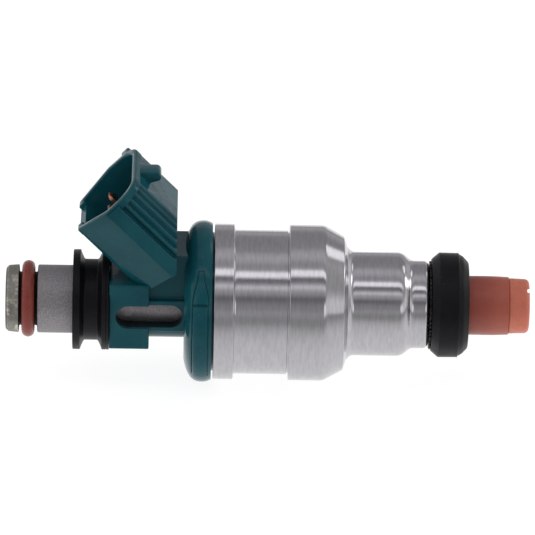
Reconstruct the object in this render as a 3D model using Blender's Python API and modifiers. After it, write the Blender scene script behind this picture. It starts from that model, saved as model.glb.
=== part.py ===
"""Top-feed solenoid fuel injector, modelled in metres.

The frame: +X runs along the injector's axis from the fuel inlet to the nozzle, and +Z is the side
that carries the electrical connector. The origin is on the axis, at the front face of the lower
seal, where the injector seats in the manifold port. Apart from the notch in the nozzle cap and the
connector's key rib, the injector is symmetric about the XZ plane.

Stations are distances along X. A turned piece is drawn as (station, radius) points about local Z
and stands on the injector_axis empty, whose local Z lies along world X.
"""
import math

import bmesh
import bpy
from mathutils import Vector

MM = 0.001

# Facets and clearances
OUTER_SIDES = 40          # sides of the turned pieces that show
INNER_SIDES = 20          # sides of the small turned pieces inside
FIT = 0.05 * MM           # between pieces that are pressed, moulded or seated together
RUNNING = 0.07 * MM       # radial clearance of the armature and of the needle's guide lands
OVERCUT = 1.0 * MM        # how far a cutter runs past the face that it opens

# Lower end: seal, washer and nozzle cap
SEAL_LENGTH = 5.6 * MM
SEAL_RADIUS = 7.95 * MM
SEAL_REAR_RADIUS = 7.0 * MM
SEAL_NOSE_RADIUS = 6.6 * MM
SEAL_CHAMFER = 1.2 * MM
SEAL_ROUND = 0.6 * MM
WASHER_THICKNESS = 0.3 * MM
WASHER_RADIUS = 7.1 * MM
CAP_REACH = 9.25 * MM     # from the seal's front face to the cap's end
CAP_GRIP = 5.2 * MM       # length of the cap inside the seal
CAP_RADIUS = 4.48 * MM
CAP_END_RADIUS = 4.2 * MM
CAP_END_LENGTH = 3.1 * MM
CAP_WALL = 1.05 * MM
CAP_END_WALL = 1.6 * MM
CAP_SPRAY_RADIUS = 2.3 * MM
CAP_ROUND = 0.7 * MM
CAP_NOTCH_WIDTH = 0.7 * MM
CAP_NOTCH_DEPTH = 0.45 * MM
CAP_NOTCH_LIFT = 2.3 * MM            # of the notch beside the axis
CAP_NOTCH_TILT = math.radians(23.6)  # of the notch about the axis

# Steel housing
HOUSING_LENGTH = 32.5 * MM
BAND_RADIUS = 11.78 * MM
WAIST_RADIUS = 10.9 * MM
REAR_BAND_LENGTH = 3.05 * MM
WAIST_LENGTH = 8.3 * MM
FRONT_BAND_LENGTH = 5.1 * MM
CHAMFER_LENGTH = 3.2 * MM
CHAMFER_END_RADIUS = 10.05 * MM
HOUSING_NECK_RADIUS = 7.86 * MM
HOUSING_NECK_BLEND = 1.95 * MM       # from the chamfer's end to the straight neck
HOUSING_NECK_FOOT = 0.5 * MM         # length and rise of the step at the blend's wide end
HOUSING_NECK_RISE = 0.7 * MM
HOUSING_STEP_SETBACK = 3.6 * MM      # of the neck's end behind the housing's front face
HOUSING_END_SETBACK = 2.3 * MM       # of the narrow end's start behind the same face
HOUSING_END_RADIUS = 6.64 * MM
HOUSING_ROUND = 0.9 * MM
WAIST_FILLET = 0.2 * MM
CRIMP_LIP = 0.95 * MM
CRIMP_ROUND = 0.8 * MM
CRIMP_RADIUS = 5.0 * MM
UNDERCUT_WIDTH = 0.25 * MM
UNDERCUT_DEPTH = 0.2 * MM
COIL_BORE_RADIUS = 9.6 * MM
COIL_BORE_DEPTH = 16.3 * MM          # from the housing's rear face
VALVE_BORE_RADIUS = 6.25 * MM

# Connector body, moulded over the coil
COLLAR_GAP = 0.12 * MM
COLLAR_LENGTH = 4.35 * MM
COLLAR_RADIUS = 12.42 * MM
COLLAR_REAR_RADIUS = 9.3 * MM
COLLAR_FRONT_RADIUS = 11.75 * MM
COLLAR_CROWN_START = 2.05 * MM       # of the widest part, from the collar's rear face
COLLAR_CROWN_END = 3.05 * MM
COLLAR_CROWN_ROUND = 1.8 * MM
COLLAR_FRONT_ROUND = 1.2 * MM
COLLAR_DOME_START = 0.45 * MM        # foot of the domed rear shoulder, from the same face
COLLAR_DOME_RISE = 2.1 * MM
COLLAR_DOME_ROUND = 0.8 * MM
JOINED = 0.5 * MM                    # by which moulded shapes run into each other
NECK_LENGTH = 5.25 * MM
NECK_RADIUS = 5.52 * MM
BLOCK_LENGTH = 6.0 * MM
BLOCK_WIDTH = 13.2 * MM
BLOCK_HEIGHT = 10.54 * MM
PAD_WIDTH = 12.0 * MM
PAD_HEIGHT = 5.0 * MM
WEB_WIDTH = 10.1 * MM
WEB_TOP = 9.42 * MM
SLOT_LENGTH = 10.1 * MM
SLOT_HEIGHT = 3.7 * MM
SLOT_FRONT_WALL = 0.2 * MM           # plastic between the slot and the collar
TONGUE_WIDTH = 8.6 * MM
TONGUE_HEIGHT = 2.4 * MM

# Connector shroud, in the connector_axis frame: Z out of the mouth, X towards the latch
SHROUD_ANGLE = math.radians(45)
SHROUD_CORNER_SETBACK = 0.84 * MM    # of the rear bottom corner behind the block's front face
SHROUD_CORNER_HEIGHT = 3.61 * MM
SHROUD_DEPTH = 14.2 * MM
SHROUD_HEIGHT = 12.1 * MM
SHROUD_BOTTOM_HALF = 5.3 * MM
SHROUD_MIDDLE_HALF = 9.0 * MM
SHROUD_TOP_HALF = 5.2 * MM
SHROUD_RIB_START = 6.0 * MM          # height of the guide rib above the bottom wall
SHROUD_RIB_HEIGHT = 2.3 * MM
SHROUD_RIB_PROUD = 0.5 * MM
SHROUD_RIB_SETBACK = 0.35 * MM
SHROUD_WALL = 1.0 * MM
SHROUD_TOP_WALL = 0.9 * MM
SHROUD_REAR_PLANE = 1.2 * MM         # flat rear face of the shroud, behind the collar
KEY_START = 8.6 * MM                 # height of the key rib on the shroud's +Y shoulder
KEY_HEIGHT = 1.6 * MM
KEY_REACH = 10.6 * MM                # of the key rib's crest from the injector's middle plane
KEY_ROOT = 7.8 * MM
KEY_SETBACK = 0.1 * MM               # of the key rib's end behind the mouth
LIP_LENGTH = 1.1 * MM
FLUTES = 4
FLUTE_DEPTH = 0.3 * MM
SOCKET_DEPTH = 8.0 * MM
EAR_WIDTH = 1.7 * MM
EAR_LENGTH = 0.6 * MM
LUG_WIDTH = 3.5 * MM
LUG_SETBACK = 0.8 * MM
LUG_RISE = 2.2 * MM
LUG_LENGTH = 3.3 * MM
LUG_FOOT = 0.5 * MM                  # depth of the lug's foot in the shroud's top wall
LUG_NOSE_ROUND = 0.3 * MM
LUG_BACK_ROUND = 0.5 * MM

# Terminals
TERMINAL_PITCH = 4.9 * MM
TERMINAL_WIDTH = 2.3 * MM
TERMINAL_THICKNESS = 0.64 * MM
TERMINAL_HEIGHT = 5.1 * MM           # of the blade above the shroud's bottom wall
TERMINAL_SETBACK = 1.3 * MM          # of the tip behind the mouth
TERMINAL_TAIL_HEIGHT = 7.4 * MM      # of the tail above the injector's axis
TERMINAL_TIP = 0.8 * MM              # length of the tapered tip
TERMINAL_TAPER = 0.6 * MM            # by which each side draws in at the tip
LEAD_RADIUS = 0.2 * MM

# Inlet end
INLET_REACH = 10.15 * MM             # from the grommet's rear face to the inlet face
INLET_RADIUS = 5.15 * MM
INLET_ROUND = 0.45 * MM
INLET_FLANGE_LENGTH = 1.95 * MM
GROOVE_LENGTH = 2.85 * MM
GROOVE_RADIUS = 4.05 * MM
RING_RADIUS = 5.82 * MM
RING_WIDTH = 1.9 * MM
GROMMET_LENGTH = 5.5 * MM
GROMMET_RADIUS = 7.6 * MM
GROMMET_WAIST_RADIUS = 6.13 * MM
GROMMET_FLANGE = 1.1 * MM
GROMMET_TAPER = 0.8 * MM
CORE_RADIUS = 4.15 * MM
CORE_SHOULDER = 0.7 * MM             # of the full tube inside the block
FUEL_BORE_RADIUS = 2.0 * MM
FILTER_BORE_RADIUS = 3.4 * MM
FILTER_BORE_DEPTH = 11.0 * MM
FILTER_WALL = 0.5 * MM
FILTER_COLLAR = 1.6 * MM
FILTER_WINDOW = 4.2 * MM
FILTER_RIBS = 3
SCREEN_WALL = 0.2 * MM

# Magnetic circuit and moving parts
YOKE_THICKNESS = 2.6 * MM
YOKE_RADIUS = 10.05 * MM
BOBBIN_WALL = 0.9 * MM
BOBBIN_FLANGE = 1.5 * MM
BOBBIN_RADIUS = 9.4 * MM
WINDING_RADIUS = 9.0 * MM
BOBBIN_RING_SECTION = 0.95 * MM
AIR_GAP = 0.2 * MM                   # between the core's pole face and the closed armature
CORE_REACH = 11.3 * MM               # of the pole face past the housing's rear face
ARMATURE_LENGTH = 9.6 * MM
ARMATURE_RADIUS = 4.15 * MM
SPRING_POCKET_DEPTH = 3.6 * MM
SPRING_POCKET_RADIUS = 1.95 * MM
SPRING_RADIUS = 1.5 * MM
SPRING_WIRE = 0.5 * MM
SPRING_TURNS = 6
SPRING_LENGTH = 9.5 * MM
SPRING_POINTS_PER_TURN = 10
SLEEVE_LENGTH = 9.0 * MM
SLEEVE_WALL = 0.7 * MM
FLOW_HOLE_RADIUS = 0.55 * MM
FLOW_HOLE_CIRCLE = 3.1 * MM
FLOW_HOLES = 4
LIFT = 0.10 * MM                     # stroke of the armature and needle
STOP_CLEARANCE = 0.02 * MM           # left between the needle's flange and the stop plate at full lift
STOP_PLATE_THICKNESS = 1.2 * MM
STOP_PLATE_BORE = 2.3 * MM
NEEDLE_SHANK_RADIUS = 1.45 * MM
NEEDLE_GRIP = 4.6 * MM               # length of the shank pressed into the armature
NEEDLE_FLANGE_RADIUS = 3.0 * MM
NEEDLE_FLANGE_THICKNESS = 0.7 * MM
NEEDLE_LAND_RADIUS = 1.93 * MM
NEEDLE_LAND_LENGTH = 2.2 * MM
NEEDLE_RELIEF_RADIUS = 1.2 * MM
NEEDLE_REAR_RELIEF = 3.0 * MM         # from the stop flange to the rear land
NEEDLE_FRONT_SETBACK = 1.0 * MM      # of the front land behind the seat
NEEDLE_CONE_STEP = 0.35 * MM         # from the guide bore's radius to the cone's wide end
NEEDLE_PINTLE_RADIUS = 0.45 * MM
NEEDLE_PINTLE_REACH = 0.5 * MM       # past the valve body's end face
VALVE_BODY_TIP_RADIUS = 3.35 * MM
VALVE_BODY_SHOULDER = 8.0 * MM       # length of the wide part of the valve body
VALVE_BODY_LENGTH = 21.1 * MM
VALVE_POCKET_RADIUS = 3.6 * MM
VALVE_POCKET_DEPTH = 1.7 * MM
VALVE_SEAT_LENGTH = 1.5 * MM
VALVE_ORIFICE_LENGTH = 0.8 * MM
VALVE_ORIFICE_RADIUS = 0.62 * MM
SEAT_GAP = 0.02 * MM
BODY_RING_SECTION = 1.1 * MM
BODY_RING_STATION = 3.4 * MM         # of the ring's groove, from the valve body's rear face
BODY_RING_GROOVE = 1.3 * MM

# Stations along X, chained from the seal's front face at zero
seal_rear_x = -SEAL_LENGTH
washer_rear_x = seal_rear_x - FIT - WASHER_THICKNESS
housing_front_x = washer_rear_x - FIT
housing_rear_x = housing_front_x - HOUSING_LENGTH
collar_front_x = housing_rear_x - COLLAR_GAP
collar_rear_x = collar_front_x - COLLAR_LENGTH
block_front_x = collar_rear_x - NECK_LENGTH
block_rear_x = block_front_x - BLOCK_LENGTH
grommet_rear_x = block_rear_x - FIT - GROMMET_LENGTH
inlet_x = grommet_rear_x - INLET_REACH
coil_bore_front_x = housing_rear_x + COIL_BORE_DEPTH
yoke_front_x = housing_rear_x + FIT + YOKE_THICKNESS
bobbin_rear_x = yoke_front_x + FIT
bobbin_front_x = coil_bore_front_x - FIT
pole_x = housing_rear_x + CORE_REACH
armature_rear_x = pole_x + AIR_GAP
armature_front_x = armature_rear_x + ARMATURE_LENGTH
valve_body_rear_x = housing_front_x - CRIMP_LIP - FIT - VALVE_BODY_SHOULDER
stop_plate_rear_x = valve_body_rear_x - FIT - STOP_PLATE_THICKNESS
valve_bore_rear_x = stop_plate_rear_x - FIT
valve_body_front_x = valve_body_rear_x + VALVE_BODY_LENGTH
pocket_floor_x = armature_rear_x + SPRING_POCKET_DEPTH
spring_front_x = pocket_floor_x - FIT - LIFT
spring_rear_x = spring_front_x - SPRING_LENGTH
sleeve_front_x = spring_rear_x - FIT
needle_flange_x = stop_plate_rear_x + STOP_PLATE_THICKNESS + LIFT + STOP_CLEARANCE

parts = bpy.data.collections.new("fuel_injector")
cutters = bpy.data.collections.new("cutters")


def clear_scene():
    for old in list(bpy.data.objects):
        bpy.data.objects.remove(old, do_unlink=True)
    for collection in (parts, cutters):
        bpy.context.scene.collection.children.link(collection)


def make_material(name, color, roughness, metallic=0.0):
    material = bpy.data.materials.new(name)
    material.use_nodes = True
    shader = material.node_tree.nodes["Principled BSDF"]
    shader.inputs["Base Color"].default_value = (*color, 1.0)
    shader.inputs["Roughness"].default_value = roughness
    shader.inputs["Metallic"].default_value = metallic
    return material


def make_empty(name, location, tilt):
    """An axis to place pieces on, turned about Y by tilt."""
    empty = bpy.data.objects.new(name, None)
    empty.empty_display_size = 5 * MM
    empty.location = location
    empty.rotation_euler = (0, tilt, 0)
    parts.objects.link(empty)
    return empty


def add_object(name, mesh, material, parent=None, location=(0, 0, 0)):
    """A part with a material, or a cutter or a joined shape without one."""
    obj = bpy.data.objects.new(name, mesh)
    obj.location = location
    obj.parent = parent
    if material:
        mesh.materials.append(material)
        parts.objects.link(obj)
    else:
        cutters.objects.link(obj)
        obj.hide_render = True
        obj.display_type = "WIRE"
    return obj


def round_corners(points, steps=2):
    """An outline with an arc at each corner that has a radius as its third value."""
    outline = []
    for before, corner, after in zip(points[-1:] + points[:-1], points, points[1:] + points[:1]):
        if len(corner) < 3:
            outline.append(tuple(corner))
            continue
        here = Vector(corner[:2])
        back = (Vector(before[:2]) - here).normalized()
        ahead = (Vector(after[:2]) - here).normalized()
        half = back.angle(ahead) / 2
        reach = corner[2] / math.tan(half)
        centre = here + (back + ahead).normalized() * corner[2] / math.sin(half)
        start = here + back * reach - centre
        sweep = start.angle_signed(here + ahead * reach - centre)
        for i in range(steps + 1):
            turn = -sweep * i / steps
            outline.append((
                centre.x + start.x * math.cos(turn) - start.y * math.sin(turn),
                centre.y + start.x * math.sin(turn) + start.y * math.cos(turn),
            ))
    return outline


def signed_area(points):
    pairs = zip(points, points[1:] + points[:1])
    return sum(a[0] * b[1] - b[0] * a[1] for a, b in pairs) / 2


def turn(name, outline, material, station, sides=OUTER_SIDES, on_axis=False):
    """A (station, radius) outline turned about the injector's axis, placed at its datum station."""
    if signed_area(outline) < 0:
        outline = outline[::-1]
    if on_axis:
        while outline[0][1] > 0 or outline[-1][1] > 0:
            outline = outline[1:] + outline[:1]
        if outline[1][1] == 0:
            outline = outline[1:] + outline[:1]
    mesh = bpy.data.meshes.new(name)
    bm = bmesh.new()
    verts = [bm.verts.new((radius, 0, along)) for along, radius in outline]
    for a, b in zip(verts, verts[1:] + ([] if on_axis else verts[:1])):
        bm.edges.new((a, b))
    bm.to_mesh(mesh)
    bm.free()
    obj = add_object(name, mesh, material, injector_axis, (0, 0, station))
    screw = obj.modifiers.new("turn", "SCREW")
    screw.axis = "Z"
    screw.angle = 2 * math.pi
    screw.steps = screw.render_steps = sides
    screw.use_merge_vertices = True
    screw.merge_threshold = 1e-6
    screw.use_smooth_shade = True
    return obj


def extrude(name, outline, low, high, material=None, parent=None, location=(0, 0, 0), axis="Z"):
    """A flat outline pushed from low to high along an axis of its own frame.

    The outline's values are (x, y) for axis Z, (z, x) for axis Y and (y, z) for axis X.
    """
    place = {
        "X": lambda a, b, c: (c, a, b),
        "Y": lambda a, b, c: (b, c, a),
        "Z": lambda a, b, c: (a, b, c),
    }[axis]
    if signed_area(outline) < 0:
        outline = outline[::-1]
    mesh = bpy.data.meshes.new(name)
    bm = bmesh.new()
    face = bm.faces.new([bm.verts.new(place(a, b, low)) for a, b in outline])
    moved = bmesh.ops.extrude_face_region(bm, geom=[face])["geom"]
    shift = Vector(place(0, 0, high - low))
    verts = [v for v in moved if isinstance(v, bmesh.types.BMVert)]
    bmesh.ops.translate(bm, vec=shift, verts=verts)
    bmesh.ops.recalc_face_normals(bm, faces=bm.faces)
    bm.to_mesh(mesh)
    bm.free()
    return add_object(name, mesh, material, parent, location)


def box(name, low, high, material=None, parent=None):
    """A box between two corners, made from the cube primitive."""
    mesh = bpy.data.meshes.new(name)
    bm = bmesh.new()
    bmesh.ops.create_cube(bm, size=1)
    size = [b - a for a, b in zip(low, high)]
    bmesh.ops.scale(bm, vec=size, verts=bm.verts)
    bm.to_mesh(mesh)
    bm.free()
    middle = [(a + b) / 2 for a, b in zip(low, high)]
    return add_object(name, mesh, material, parent, middle)


def combine(obj, other, operation):
    """Joins another shape to an object, or cuts it away."""
    boolean = obj.modifiers.new(other.name, "BOOLEAN")
    boolean.operation = operation
    boolean.solver = "EXACT"
    boolean.object = other


def ring_outline(radius, section_width, section_depth, points=10):
    """The oval section of an elastic ring, centred on station zero."""
    turns = [2 * math.pi * i / points for i in range(points)]
    return [
        (section_width / 2 * math.cos(t), radius + section_depth / 2 * math.sin(t)) for t in turns
    ]


def tube_outline(inner, outer, length):
    return [(0, inner), (length, inner), (length, outer), (0, outer)]


def pill(length, height, steps=7):
    """A slot outline with full round ends, centred on zero: (height, length) pairs."""
    reach = (length - height) / 2
    outline = []
    for side in (1, -1):
        for i in range(steps + 1):
            angle = math.pi * i / steps
            outline.append((
                side * height / 2 * math.cos(angle),
                side * (reach + height / 2 * math.sin(angle)),
            ))
    return outline


def build_manifold_seal():
    """The rubber seal that seats in the manifold port and grips the nozzle cap."""
    bore = CAP_RADIUS + FIT
    outline = round_corners([
        (0, bore),
        (SEAL_LENGTH, bore),
        (SEAL_LENGTH, SEAL_NOSE_RADIUS),
        (SEAL_LENGTH - SEAL_CHAMFER, SEAL_RADIUS, SEAL_ROUND),
        (SEAL_CHAMFER, SEAL_RADIUS, SEAL_ROUND),
        (0, SEAL_REAR_RADIUS),
    ])
    turn("manifold_seal", outline, rubber, seal_rear_x)


def build_backing_washer():
    """The thin steel washer between the crimped housing and the seal."""
    bore = CAP_RADIUS + FIT
    turn("backing_washer", tube_outline(bore, WASHER_RADIUS, WASHER_THICKNESS), steel, washer_rear_x)


def build_nozzle_cap():
    """The plastic sleeve over the nozzle tip, with a spray hole and a notch across its end."""
    start_x = -CAP_GRIP
    length = CAP_GRIP + CAP_REACH
    bore = CAP_RADIUS - CAP_WALL
    outline = round_corners([
        (0, bore),
        (length - CAP_END_WALL, bore),
        (length - CAP_END_WALL, CAP_SPRAY_RADIUS),
        (length, CAP_SPRAY_RADIUS),
        (length, CAP_END_RADIUS, CAP_ROUND),
        (length - CAP_END_LENGTH, CAP_END_RADIUS),
        (length - CAP_END_LENGTH, CAP_RADIUS),
        (0, CAP_RADIUS),
    ])
    cap = turn("nozzle_cap", outline, cap_plastic, start_x)
    notch = box(
        "nozzle_cap_notch",
        (-CAP_NOTCH_DEPTH, -CAP_END_RADIUS - OVERCUT, -CAP_NOTCH_WIDTH / 2),
        (CAP_NOTCH_DEPTH, CAP_END_RADIUS + OVERCUT, CAP_NOTCH_WIDTH / 2),
    )
    notch.location = (
        CAP_REACH, -CAP_NOTCH_LIFT * math.sin(CAP_NOTCH_TILT),
        CAP_NOTCH_LIFT * math.cos(CAP_NOTCH_TILT))
    notch.rotation_euler = (CAP_NOTCH_TILT, 0, 0)
    combine(cap, notch, "DIFFERENCE")


def build_housing():
    """The steel housing: two bands, a waist, a neck and an end crimped over the valve body."""
    waist = REAR_BAND_LENGTH
    front = waist + WAIST_LENGTH
    chamfer = front + FRONT_BAND_LENGTH
    chamfer_end = chamfer + CHAMFER_LENGTH
    guide = ARMATURE_RADIUS + RUNNING
    rear_bore = YOKE_RADIUS + FIT
    yoke_seat = YOKE_THICKNESS + FIT
    valve_rear = valve_bore_rear_x - housing_rear_x
    lip = HOUSING_LENGTH - CRIMP_LIP
    outline = round_corners([
        (0, rear_bore),
        (yoke_seat, rear_bore),
        (yoke_seat, COIL_BORE_RADIUS),
        (COIL_BORE_DEPTH, COIL_BORE_RADIUS),
        (COIL_BORE_DEPTH, guide),
        (valve_rear, guide),
        (valve_rear, VALVE_BORE_RADIUS),
        (lip, VALVE_BORE_RADIUS),
        (lip, CRIMP_RADIUS),
        (HOUSING_LENGTH, CRIMP_RADIUS),
        (HOUSING_LENGTH, HOUSING_END_RADIUS, CRIMP_ROUND),
        (HOUSING_LENGTH - HOUSING_END_SETBACK, HOUSING_END_RADIUS),
        (HOUSING_LENGTH - HOUSING_STEP_SETBACK, HOUSING_NECK_RADIUS, HOUSING_ROUND),
        (chamfer_end + HOUSING_NECK_BLEND, HOUSING_NECK_RADIUS, HOUSING_ROUND),
        (chamfer_end + HOUSING_NECK_FOOT, HOUSING_NECK_RADIUS + HOUSING_NECK_RISE),
        (chamfer_end, CHAMFER_END_RADIUS),
        (chamfer, BAND_RADIUS, HOUSING_ROUND),
        (front, BAND_RADIUS),
        (front, WAIST_RADIUS - UNDERCUT_DEPTH),
        (front - UNDERCUT_WIDTH, WAIST_RADIUS - UNDERCUT_DEPTH),
        (front - UNDERCUT_WIDTH, WAIST_RADIUS),
        (waist + WAIST_FILLET, WAIST_RADIUS),
        (waist, BAND_RADIUS),
        (0, BAND_RADIUS),
    ])
    turn("housing", outline, brushed_steel, housing_rear_x)


def shroud_outline(fluted):
    """The shroud's section, (height, width) pairs: flat slanted flanks, guide ribs, arched top."""
    shoulder = SHROUD_RIB_START + SHROUD_RIB_HEIGHT
    rise = SHROUD_HEIGHT - shoulder
    inward = SHROUD_MIDDLE_HALF - SHROUD_TOP_HALF
    half = [
        (0, SHROUD_BOTTOM_HALF),
        (0.5 * MM, SHROUD_BOTTOM_HALF + 0.45 * MM),
        (SHROUD_RIB_START, SHROUD_MIDDLE_HALF),
    ]
    if fluted:
        half += [
            (SHROUD_RIB_START, SHROUD_MIDDLE_HALF + SHROUD_RIB_PROUD),
            (shoulder, SHROUD_MIDDLE_HALF + SHROUD_RIB_PROUD),
            (shoulder, SHROUD_MIDDLE_HALF - FLUTE_DEPTH),
        ]
    steps = 2 * FLUTES
    for i in range(0 if not fluted else 1, steps + 1):
        angle = math.pi / 2 * i / steps
        depth = FLUTE_DEPTH if fluted and i % 2 else 0
        half.append((
            shoulder + (rise - depth * math.sin(angle)) * math.sin(angle),
            SHROUD_TOP_HALF + (inward - depth) * math.cos(angle),
        ))
    return half + [(height, -width) for height, width in half[::-1]]


def socket_outline():
    """The inside of the shroud, one wall in from the section."""
    shoulder = SHROUD_RIB_START + SHROUD_RIB_HEIGHT
    half = [
        (SHROUD_WALL, SHROUD_BOTTOM_HALF - 0.5 * SHROUD_WALL),
        (SHROUD_RIB_START + 0.3 * MM, SHROUD_MIDDLE_HALF - 1.1 * SHROUD_WALL),
        (shoulder, SHROUD_MIDDLE_HALF - 1.1 * SHROUD_WALL - FLUTE_DEPTH),
        (SHROUD_HEIGHT - SHROUD_TOP_WALL, SHROUD_TOP_HALF - 0.8 * SHROUD_WALL),
    ]
    return half + [(height, -width) for height, width in half[::-1]]


def lug_outline():
    """The latch lug from the side: a ramp from the lip, a round top, a steep back: (u, w) pairs."""
    front = SHROUD_DEPTH - LUG_SETBACK
    foot = SHROUD_HEIGHT - LUG_FOOT
    outline = [
        (foot, front + LUG_FOOT),
        (SHROUD_HEIGHT + LUG_RISE, front - LUG_RISE, LUG_NOSE_ROUND),
        (SHROUD_HEIGHT + LUG_RISE - LUG_NOSE_ROUND, front - LUG_LENGTH, LUG_BACK_ROUND),
        (foot, front - LUG_LENGTH + LUG_NOSE_ROUND),
    ]
    return [(along, up) for up, along in round_corners(outline, steps=3)]


def terminal_path():
    """Centre line of a terminal: tip, bend and tail, as (x, z) points in the injector's frame."""
    out = Vector((-math.sin(SHROUD_ANGLE), math.cos(SHROUD_ANGLE)))
    up = Vector((math.cos(SHROUD_ANGLE), math.sin(SHROUD_ANGLE)))
    corner = Vector((block_front_x - SHROUD_CORNER_SETBACK, SHROUD_CORNER_HEIGHT))
    foot = corner + up * TERMINAL_HEIGHT
    tip = foot + out * (SHROUD_DEPTH - TERMINAL_SETBACK)
    bend = foot + out * (TERMINAL_TAIL_HEIGHT - foot.y) / out.y
    tail = Vector((bobbin_rear_x - FIT, TERMINAL_TAIL_HEIGHT))
    return tip, bend, tail


def terminal_strip(name, y, material=None, growth=0.0, overrun=0.0):
    """A bent strip along the terminal's path, tapered at its tip; growth and overrun make its channel."""
    tip, bend, tail = terminal_path()
    out = (tip - bend).normalized()
    half = TERMINAL_WIDTH / 2 + growth
    rows = [
        (tip + out * overrun, half - TERMINAL_TAPER),
        (tip - out * TERMINAL_TIP, half),
        (bend, half),
        (tail + Vector((overrun, 0)), half),
    ]
    mesh = bpy.data.meshes.new(name)
    bm = bmesh.new()
    edges = [[bm.verts.new((at.x, y + side * wide, at.y)) for side in (-1, 1)] for at, wide in rows]
    for (a, b), (c, d) in zip(edges, edges[1:]):
        bm.faces.new((a, b, d, c))
    bm.to_mesh(mesh)
    bm.free()
    obj = add_object(name, mesh, material)
    solidify = obj.modifiers.new("thickness", "SOLIDIFY")
    solidify.thickness = TERMINAL_THICKNESS + 2 * growth
    solidify.offset = 0
    solidify.use_even_offset = True
    return obj


def terminal_sides():
    return (("left", TERMINAL_PITCH / 2), ("right", -TERMINAL_PITCH / 2))


def neck_outline(steps=8):
    """The neck's section, (y, z) pairs: a round underside, side pads and the web above."""
    pad_half = PAD_HEIGHT / 2
    start = math.asin(pad_half / NECK_RADIUS)
    half = []
    for i in range(steps + 1):
        angle = math.pi / 2 - (math.pi / 2 - start) * i / steps
        half.append((NECK_RADIUS * math.cos(angle), -NECK_RADIUS * math.sin(angle)))
    half += [
        (PAD_WIDTH / 2, -pad_half),
        (PAD_WIDTH / 2, pad_half),
        (WEB_WIDTH / 2, pad_half),
        (WEB_WIDTH / 2, WEB_TOP),
    ]
    return half + [(-across, up) for across, up in half[:0:-1]]


def build_connector_body():
    """The plastic moulding: collar, neck, block, web and the slanted connector shroud."""
    collar = round_corners([
        (0, 0),
        (COLLAR_LENGTH, 0),
        (COLLAR_LENGTH, COLLAR_FRONT_RADIUS),
        (COLLAR_CROWN_END, COLLAR_RADIUS, COLLAR_FRONT_ROUND),
        (COLLAR_CROWN_START, COLLAR_RADIUS, COLLAR_CROWN_ROUND),
        (COLLAR_DOME_START, COLLAR_REAR_RADIUS + COLLAR_DOME_RISE, COLLAR_DOME_ROUND),
        (0, COLLAR_REAR_RADIUS),
    ])
    body = turn("connector_body", collar, teal_plastic, collar_rear_x, on_axis=True)
    combine(body, extrude(
        "neck", neck_outline(), block_front_x - JOINED, collar_rear_x + 2 * JOINED, axis="X",
    ), "UNION")
    combine(body, box(
        "block",
        (block_rear_x, -BLOCK_WIDTH / 2, -BLOCK_HEIGHT / 2),
        (block_front_x, BLOCK_WIDTH / 2, BLOCK_HEIGHT / 2),
    ), "UNION")
    tongue_middle = TERMINAL_TAIL_HEIGHT
    combine(body, box(
        "tongue",
        (collar_front_x - JOINED, -TONGUE_WIDTH / 2, tongue_middle - TONGUE_HEIGHT / 2),
        (yoke_front_x, TONGUE_WIDTH / 2, tongue_middle + TONGUE_HEIGHT / 2),
    ), "UNION")

    lip_rear = SHROUD_DEPTH - LIP_LENGTH
    shroud = extrude(
        "shroud", shroud_outline(fluted=True), 0, SHROUD_DEPTH - SHROUD_RIB_SETBACK,
        parent=connector_axis)
    lip = extrude("lip", shroud_outline(fluted=False), lip_rear, SHROUD_DEPTH, parent=connector_axis)
    rear_plane = box(
        "rear_plane",
        (collar_rear_x - SHROUD_REAR_PLANE, -20 * MM, -10 * MM),
        (collar_rear_x + 20 * MM, 20 * MM, 40 * MM),
    )
    combine(shroud, lip, "UNION")
    combine(shroud, box(
        "key_rib",
        (KEY_START, KEY_ROOT, JOINED),
        (KEY_START + KEY_HEIGHT, KEY_REACH, SHROUD_DEPTH - KEY_SETBACK),
        parent=connector_axis,
    ), "UNION")
    combine(shroud, rear_plane, "DIFFERENCE")
    combine(body, shroud, "UNION")
    combine(body, extrude(
        "latch_lug", lug_outline(), -LUG_WIDTH / 2, LUG_WIDTH / 2, parent=connector_axis, axis="Y",
    ), "UNION")

    combine(body, extrude(
        "socket", socket_outline(), SHROUD_DEPTH - SOCKET_DEPTH, SHROUD_DEPTH + OVERCUT,
        parent=connector_axis,
    ), "DIFFERENCE")
    ear_inside = SHROUD_BOTTOM_HALF - EAR_WIDTH
    combine(body, box(
        "rim_recess",
        (-OVERCUT, -ear_inside, SHROUD_DEPTH - EAR_LENGTH),
        (SHROUD_WALL + OVERCUT, ear_inside, SHROUD_DEPTH + OVERCUT),
        parent=connector_axis,
    ), "DIFFERENCE")

    shoulder = block_rear_x + CORE_SHOULDER
    tube = [
        (-OVERCUT, 0),
        (housing_rear_x - block_rear_x + OVERCUT, 0),
        (housing_rear_x - block_rear_x + OVERCUT, CORE_RADIUS + FIT),
        (shoulder - block_rear_x + FIT, CORE_RADIUS + FIT),
        (shoulder - block_rear_x + FIT, INLET_RADIUS + FIT),
        (-OVERCUT, INLET_RADIUS + FIT),
    ]
    bore = turn("tube_bore", tube, None, block_rear_x, on_axis=True)
    combine(body, bore, "DIFFERENCE")
    slot_middle = collar_rear_x - SLOT_FRONT_WALL - SLOT_LENGTH / 2
    slot = [(height, slot_middle + along) for height, along in pill(SLOT_LENGTH, SLOT_HEIGHT)]
    combine(body, extrude(
        "side_slots", slot, -BLOCK_WIDTH / 2 - OVERCUT, BLOCK_WIDTH / 2 + OVERCUT, axis="Y",
    ), "DIFFERENCE")
    for side, y in terminal_sides():
        channel = terminal_strip(f"channel_{side}", y, growth=FIT, overrun=OVERCUT)
        combine(body, channel, "DIFFERENCE")


def build_terminals():
    """Two copper alloy blades, bent from the socket down to the coil."""
    for side, y in terminal_sides():
        terminal_strip(f"terminal_{side}", y, copper)


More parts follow.
